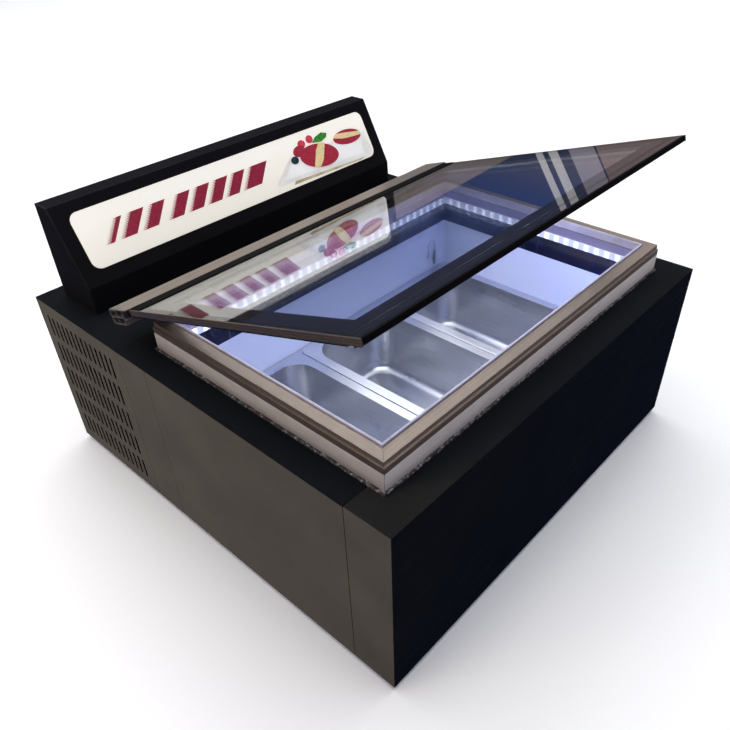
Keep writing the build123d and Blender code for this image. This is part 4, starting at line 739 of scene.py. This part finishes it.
def print_sheet(name, outline, layer, finish):
    """Flat printed shape from its (x, y) corners in millimetres on the panel."""
    bpy.ops.object.select_all(action="DESELECT")
    bpy.ops.mesh.primitive_circle_add(vertices=len(outline), radius=1, fill_type="NGON")
    sheet = bpy.context.object
    open_up(sheet)
    mesh = bmesh.from_edit_mesh(sheet.data)
    mesh.verts.ensure_lookup_table()
    for vertex, (x, y) in zip(mesh.verts, reversed(outline)):
        vertex.co = (x * MM, y * MM, (layer + 0.5) * LAYER)
    bmesh.update_edit_mesh(sheet.data)
    close_up()
    thicken(sheet, LAYER)
    sheet.name = name
    put(sheet, SIGN)
    return done(sheet, finish, "cabinet")


def rounded(cx, cy, rx, ry, turn=0.0, start=0, end=360, step=8):
    """Points of a turned ellipse, counter-clockwise."""
    points = []
    for angle in range(start, end + (0 if end - start >= 360 else 1), step):
        a, t = math.radians(angle), math.radians(turn)
        x, y = rx * math.cos(a), ry * math.sin(a)
        points.append((cx + x * math.cos(t) - y * math.sin(t), cy + x * math.sin(t) + y * math.cos(t)))
    return points


def speed_blocks():
    """Two groups of slanted blocks that trail off in thin streaks on their left."""
    bottom, rows, pitch = 25.0, 15, 2.0
    slant, trail = 1.72, 8.0
    blocks = []
    for start, width in ((-247, 14), (-225, 27), (-190, 27), (-147, 27), (-113, 28), (-79, 28), (-45, 27), (-11, 38)):
        sheets = []
        for row in range(rows):
            x = start + row * slant
            y = bottom + row * pitch
            lean = slant * 1.5 / pitch
            sheets.append([
                (x, y + 0.75), (x + trail, y), (x + width, y), (x + width + lean, y + 1.55), (x + trail + lean, y + 1.55),
            ])
        spine = [
            (start + trail * 0.9, bottom), (start + width, bottom),
            (start + width + rows * slant - 1.2, bottom + rows * pitch - 0.5),
            (start + trail * 0.9 + rows * slant - 1.2, bottom + rows * pitch - 0.5),
        ]
        blocks.append((sheets, spine))
    return blocks


def sign_print():
    made = []
    for sheets, spine in speed_blocks():
        for outline in sheets:
            made.append(print_sheet("streak", outline, 2, RED_INK))
    one_piece("sign_print_streaks", made)
    spines = [print_sheet("spine", spine, 0, RED_INK) for sheets, spine in speed_blocks()]
    one_piece("sign_print_blocks", spines)
    print_sheet("sign_print_plate_shade", [(84, 4.5), (238, 1.2), (262, 4.5), (150, 9), (90, 10)], 0, SHADE_INK)
    print_sheet("sign_print_plate_rim", [(52, 14), (56, 10.5), (262, 3.0), (272, 6.5), (268, 44), (250, 46), (96, 46), (90, 42)], 2, PORCELAIN_INK)
    print_sheet("sign_print_plate_well", [(70, 16), (252, 9.5), (256, 38), (244, 41), (102, 41), (98, 38)], 4, WELL_INK)
    print_sheet("sign_print_leaf", [(151, 55), (160, 62), (176, 66), (188, 62), (184, 56), (170, 52)], 6, LEAF_INK)
    print_sheet("sign_print_currant_left", rounded(129, 59, 8, 6.5), 6, RED_BERRY_INK)
    print_sheet("sign_print_currant_right", rounded(148, 62, 7.5, 6.5), 7, RED_BERRY_INK)
    print_sheet("sign_print_raspberry", rounded(119, 50, 13, 8.5, 8), 8, BERRY_INK)
    print_sheet("sign_print_bilberry", rounded(104, 39, 8, 6), 9, NAVY_INK)
    print_sheet("sign_print_scoop_back", rounded(228, 45, 32, 12, -4), 10, BERRY_INK)
    print_sheet("sign_print_stripe_back", [(196, 50), (218, 44), (240, 42), (260, 41), (259, 47), (240, 50), (222, 53), (204, 55)], 12, CREAM_INK)
    print_sheet("sign_print_scoop_front", rounded(156, 33, 41, 19, -10), 14, BERRY_INK)
    print_sheet("sign_print_stripe_front", [(136, 17), (150, 16), (160, 24), (168, 36), (176, 49), (163, 52), (152, 42), (143, 28)], 16, CREAM_INK)


ink_border()
hinge_seal()
lid_bumpers()
sealant_bead()
sign_print()


# ---------------------------------------------------------------- studio
def studio_floor():
    bpy.ops.object.select_all(action="DESELECT")
    bpy.ops.mesh.primitive_plane_add(size=30, location=(0, 0, -0.0005))
    floor = bpy.context.object
    floor.name = "studio_floor"
    paper, tree, shader, place = start_finish("pale_paper", Roughness=0.9, Specular_IOR_Level=0.1)
    clouds = add(tree, "ShaderNodeTexNoise", {"Vector": place, "Scale": 2.0, "Detail": 2.0})
    tone = add(tree, "ShaderNodeMix", {0: clouds.outputs[0], 6: paint("#F4F4F5"), 7: paint("#F7F7F7")}, data_type="RGBA")
    feed(tree, shader, Base_Color=tone.outputs[2])
    # to glossy and transmission rays the floor glows as a dim blue-to-warm room: painted reflection, also seen through
    # the lid glass
    far = add(
        tree, "ShaderNodeMapRange", {0: add(tree, "ShaderNodeSeparateXYZ", {0: place}).outputs[0], 1: 0.95, 2: 1.3, 3: 0.0, 4: 1.0}
    ).outputs[0]
    room = add(tree, "ShaderNodeMix", {0: far, 6: paint("#44548A"), 7: paint("#8C807E")}, data_type="RGBA")
    dim = add(tree, "ShaderNodeEmission", {"Color": room.outputs[2], "Strength": 0.7})
    path = add(tree, "ShaderNodeLightPath")
    mirrored = add(
        tree, "ShaderNodeMath",
        {0: path.outputs["Is Transmission Ray"], 1: path.outputs["Is Glossy Ray"]}, operation="MAXIMUM",
    ).outputs[0]
    both = add(tree, "ShaderNodeMixShader", {0: mirrored, 1: shader.outputs[0], 2: dim.outputs[0]})
    tree.links.new(both.outputs[0], tree.nodes["Material Output"].inputs["Surface"])
    floor.data.materials.append(paper)


def softbox(name, place, aim, size, watts, colour):
    data = bpy.data.lights.new(name, "AREA")
    data.shape = "RECTANGLE"
    data.size, data.size_y = size
    data.energy = watts
    data.color = paint(colour)[:3]
    lamp = bpy.data.objects.new(name, data)
    lamp.location = place
    lamp.rotation_euler = (Vector(aim) - Vector(place)).to_track_quat("-Z", "Y").to_euler()
    bpy.context.collection.objects.link(lamp)
    return lamp


def room_light():
    """Pale backdrop for the eye; what lights and mirrors in the object is a dim blue-grey room."""
    world = bpy.data.worlds.new("studio")
    bpy.context.scene.world = world
    world.use_nodes = True
    tree = world.node_tree
    backdrop = tree.nodes["Background"]
    backdrop.inputs["Color"].default_value = paint("#FAFAFB")
    room = add(tree, "ShaderNodeBackground", {"Color": paint("#7088D0"), "Strength": 0.13})
    seen = add(tree, "ShaderNodeLightPath").outputs["Is Camera Ray"]
    both = add(tree, "ShaderNodeMixShader", {0: seen, 1: room.outputs[0], 2: backdrop.outputs[0]})
    tree.links.new(both.outputs[0], tree.nodes["World Output"].inputs["Surface"])


def tub_lights():
    """What the diode strips give the tub: one thin cold lamp in front of each diffuser."""
    low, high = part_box("led_diffusers")
    middle = (low + high) / 2
    inside = 24 * MM
    tall = high.z - low.z
    for name, place, length, watts in (
        ("front", (middle.x, low.y + inside, middle.z), high.x - low.x, 0.62),
        ("rear", (middle.x, high.y - inside, middle.z), high.x - low.x, 0.08),
        ("left", (low.x + inside, middle.y, middle.z), high.y - low.y, 0.03),
        ("right", (high.x - inside, middle.y, middle.z), high.y - low.y, 0.20),
    ):
        aim = (place[0] * 0.4, middle.y + (place[1] - middle.y) * 0.4, 0.15)
        lamp = softbox("tub_" + name, place, aim, (length * 0.88, tall), watts, "#93A8FF")
        lamp.visible_camera = False
        lamp.visible_transmission = False
        lamp.visible_glossy = False


def window_cards():
    """Two upright soft strips far behind the right side, for long streaks of light in the lid."""
    for place, width, watts, colour in (
        ((2.765, 1.655, 0.5), 0.035, 0.060, "#F2EEE6"),
        ((2.79, 1.59, 0.5), 0.045, 0.080, "#F2EEE6"),
        ((2.84, 1.46, 0.5), 0.12, 0.22, "#B0A4A6"),
        ((2.93, 1.20, 0.5), 0.40, 0.60, "#AE9078"),
    ):
        card = softbox("card", place, (0.2, -0.1, 0.4), (width, 1.0), watts, colour)
        card.visible_camera = False


def shine_only_on(lamp, names):
    """Flags a lamp off everything but the named pieces."""
    lit = bpy.data.collections.new(lamp.name + "_lit")
    for name in names:
        lit.objects.link(bpy.data.objects[name])
    lamp.light_linking.receiver_collection = lit


def camera():
    data = bpy.data.cameras.new("camera")
    data.sensor_width = 36.0
    data.lens = 34.80
    data.shift_x = -0.01975
    data.shift_y = 0.0417
    eye = bpy.data.objects.new("camera", data)
    right = Vector((0.67039, -0.74156, -0.02597))
    up = Vector((0.47585, 0.40279, 0.78188))
    back = -Vector((0.56934, 0.53652, -0.62289))
    place = Vector((-0.6358, -0.6171, 0.7637))
    eye.matrix_world = Matrix((
        (right.x, up.x, back.x, place.x),
        (right.y, up.y, back.y, place.y),
        (right.z, up.z, back.z, place.z),
        (0, 0, 0, 1),
    ))
    bpy.context.collection.objects.link(eye)
    bpy.context.scene.camera = eye


studio_floor()
room_light()
softbox("overhead", (1.2, 1.2, 5.0), (0.9, 0.9, 0), (9.0, 9.0), 640, "#FFFFFF")
softbox("left_warm", (-2.3, 0.6, 0.9), (-0.3, 0.0, 0.2), (1.4, 1.2), 17, "#FFE6CC")
flagged = softbox("left_panel_light", (-2.1, 0.6, 0.5), (-0.33, 0.0, 0.15), (1.2, 0.9), 400, "#FFDFBA")
shine_only_on(flagged, ["front_cover", "side_panel_left", "filler_strips", "louvre_panel_left"])
collar_light = softbox("collar_light", (0.9, -1.9, 0.8), (0.0, -0.1, 0.28), (1.2, 1.2), 17, "#F0EAEE")
shine_only_on(collar_light, ["collar_boards_long", "rim_profiles_long"])
tub_lights()
window_cards()
camera()
bpy.context.scene.view_settings.view_transform = "Standard"
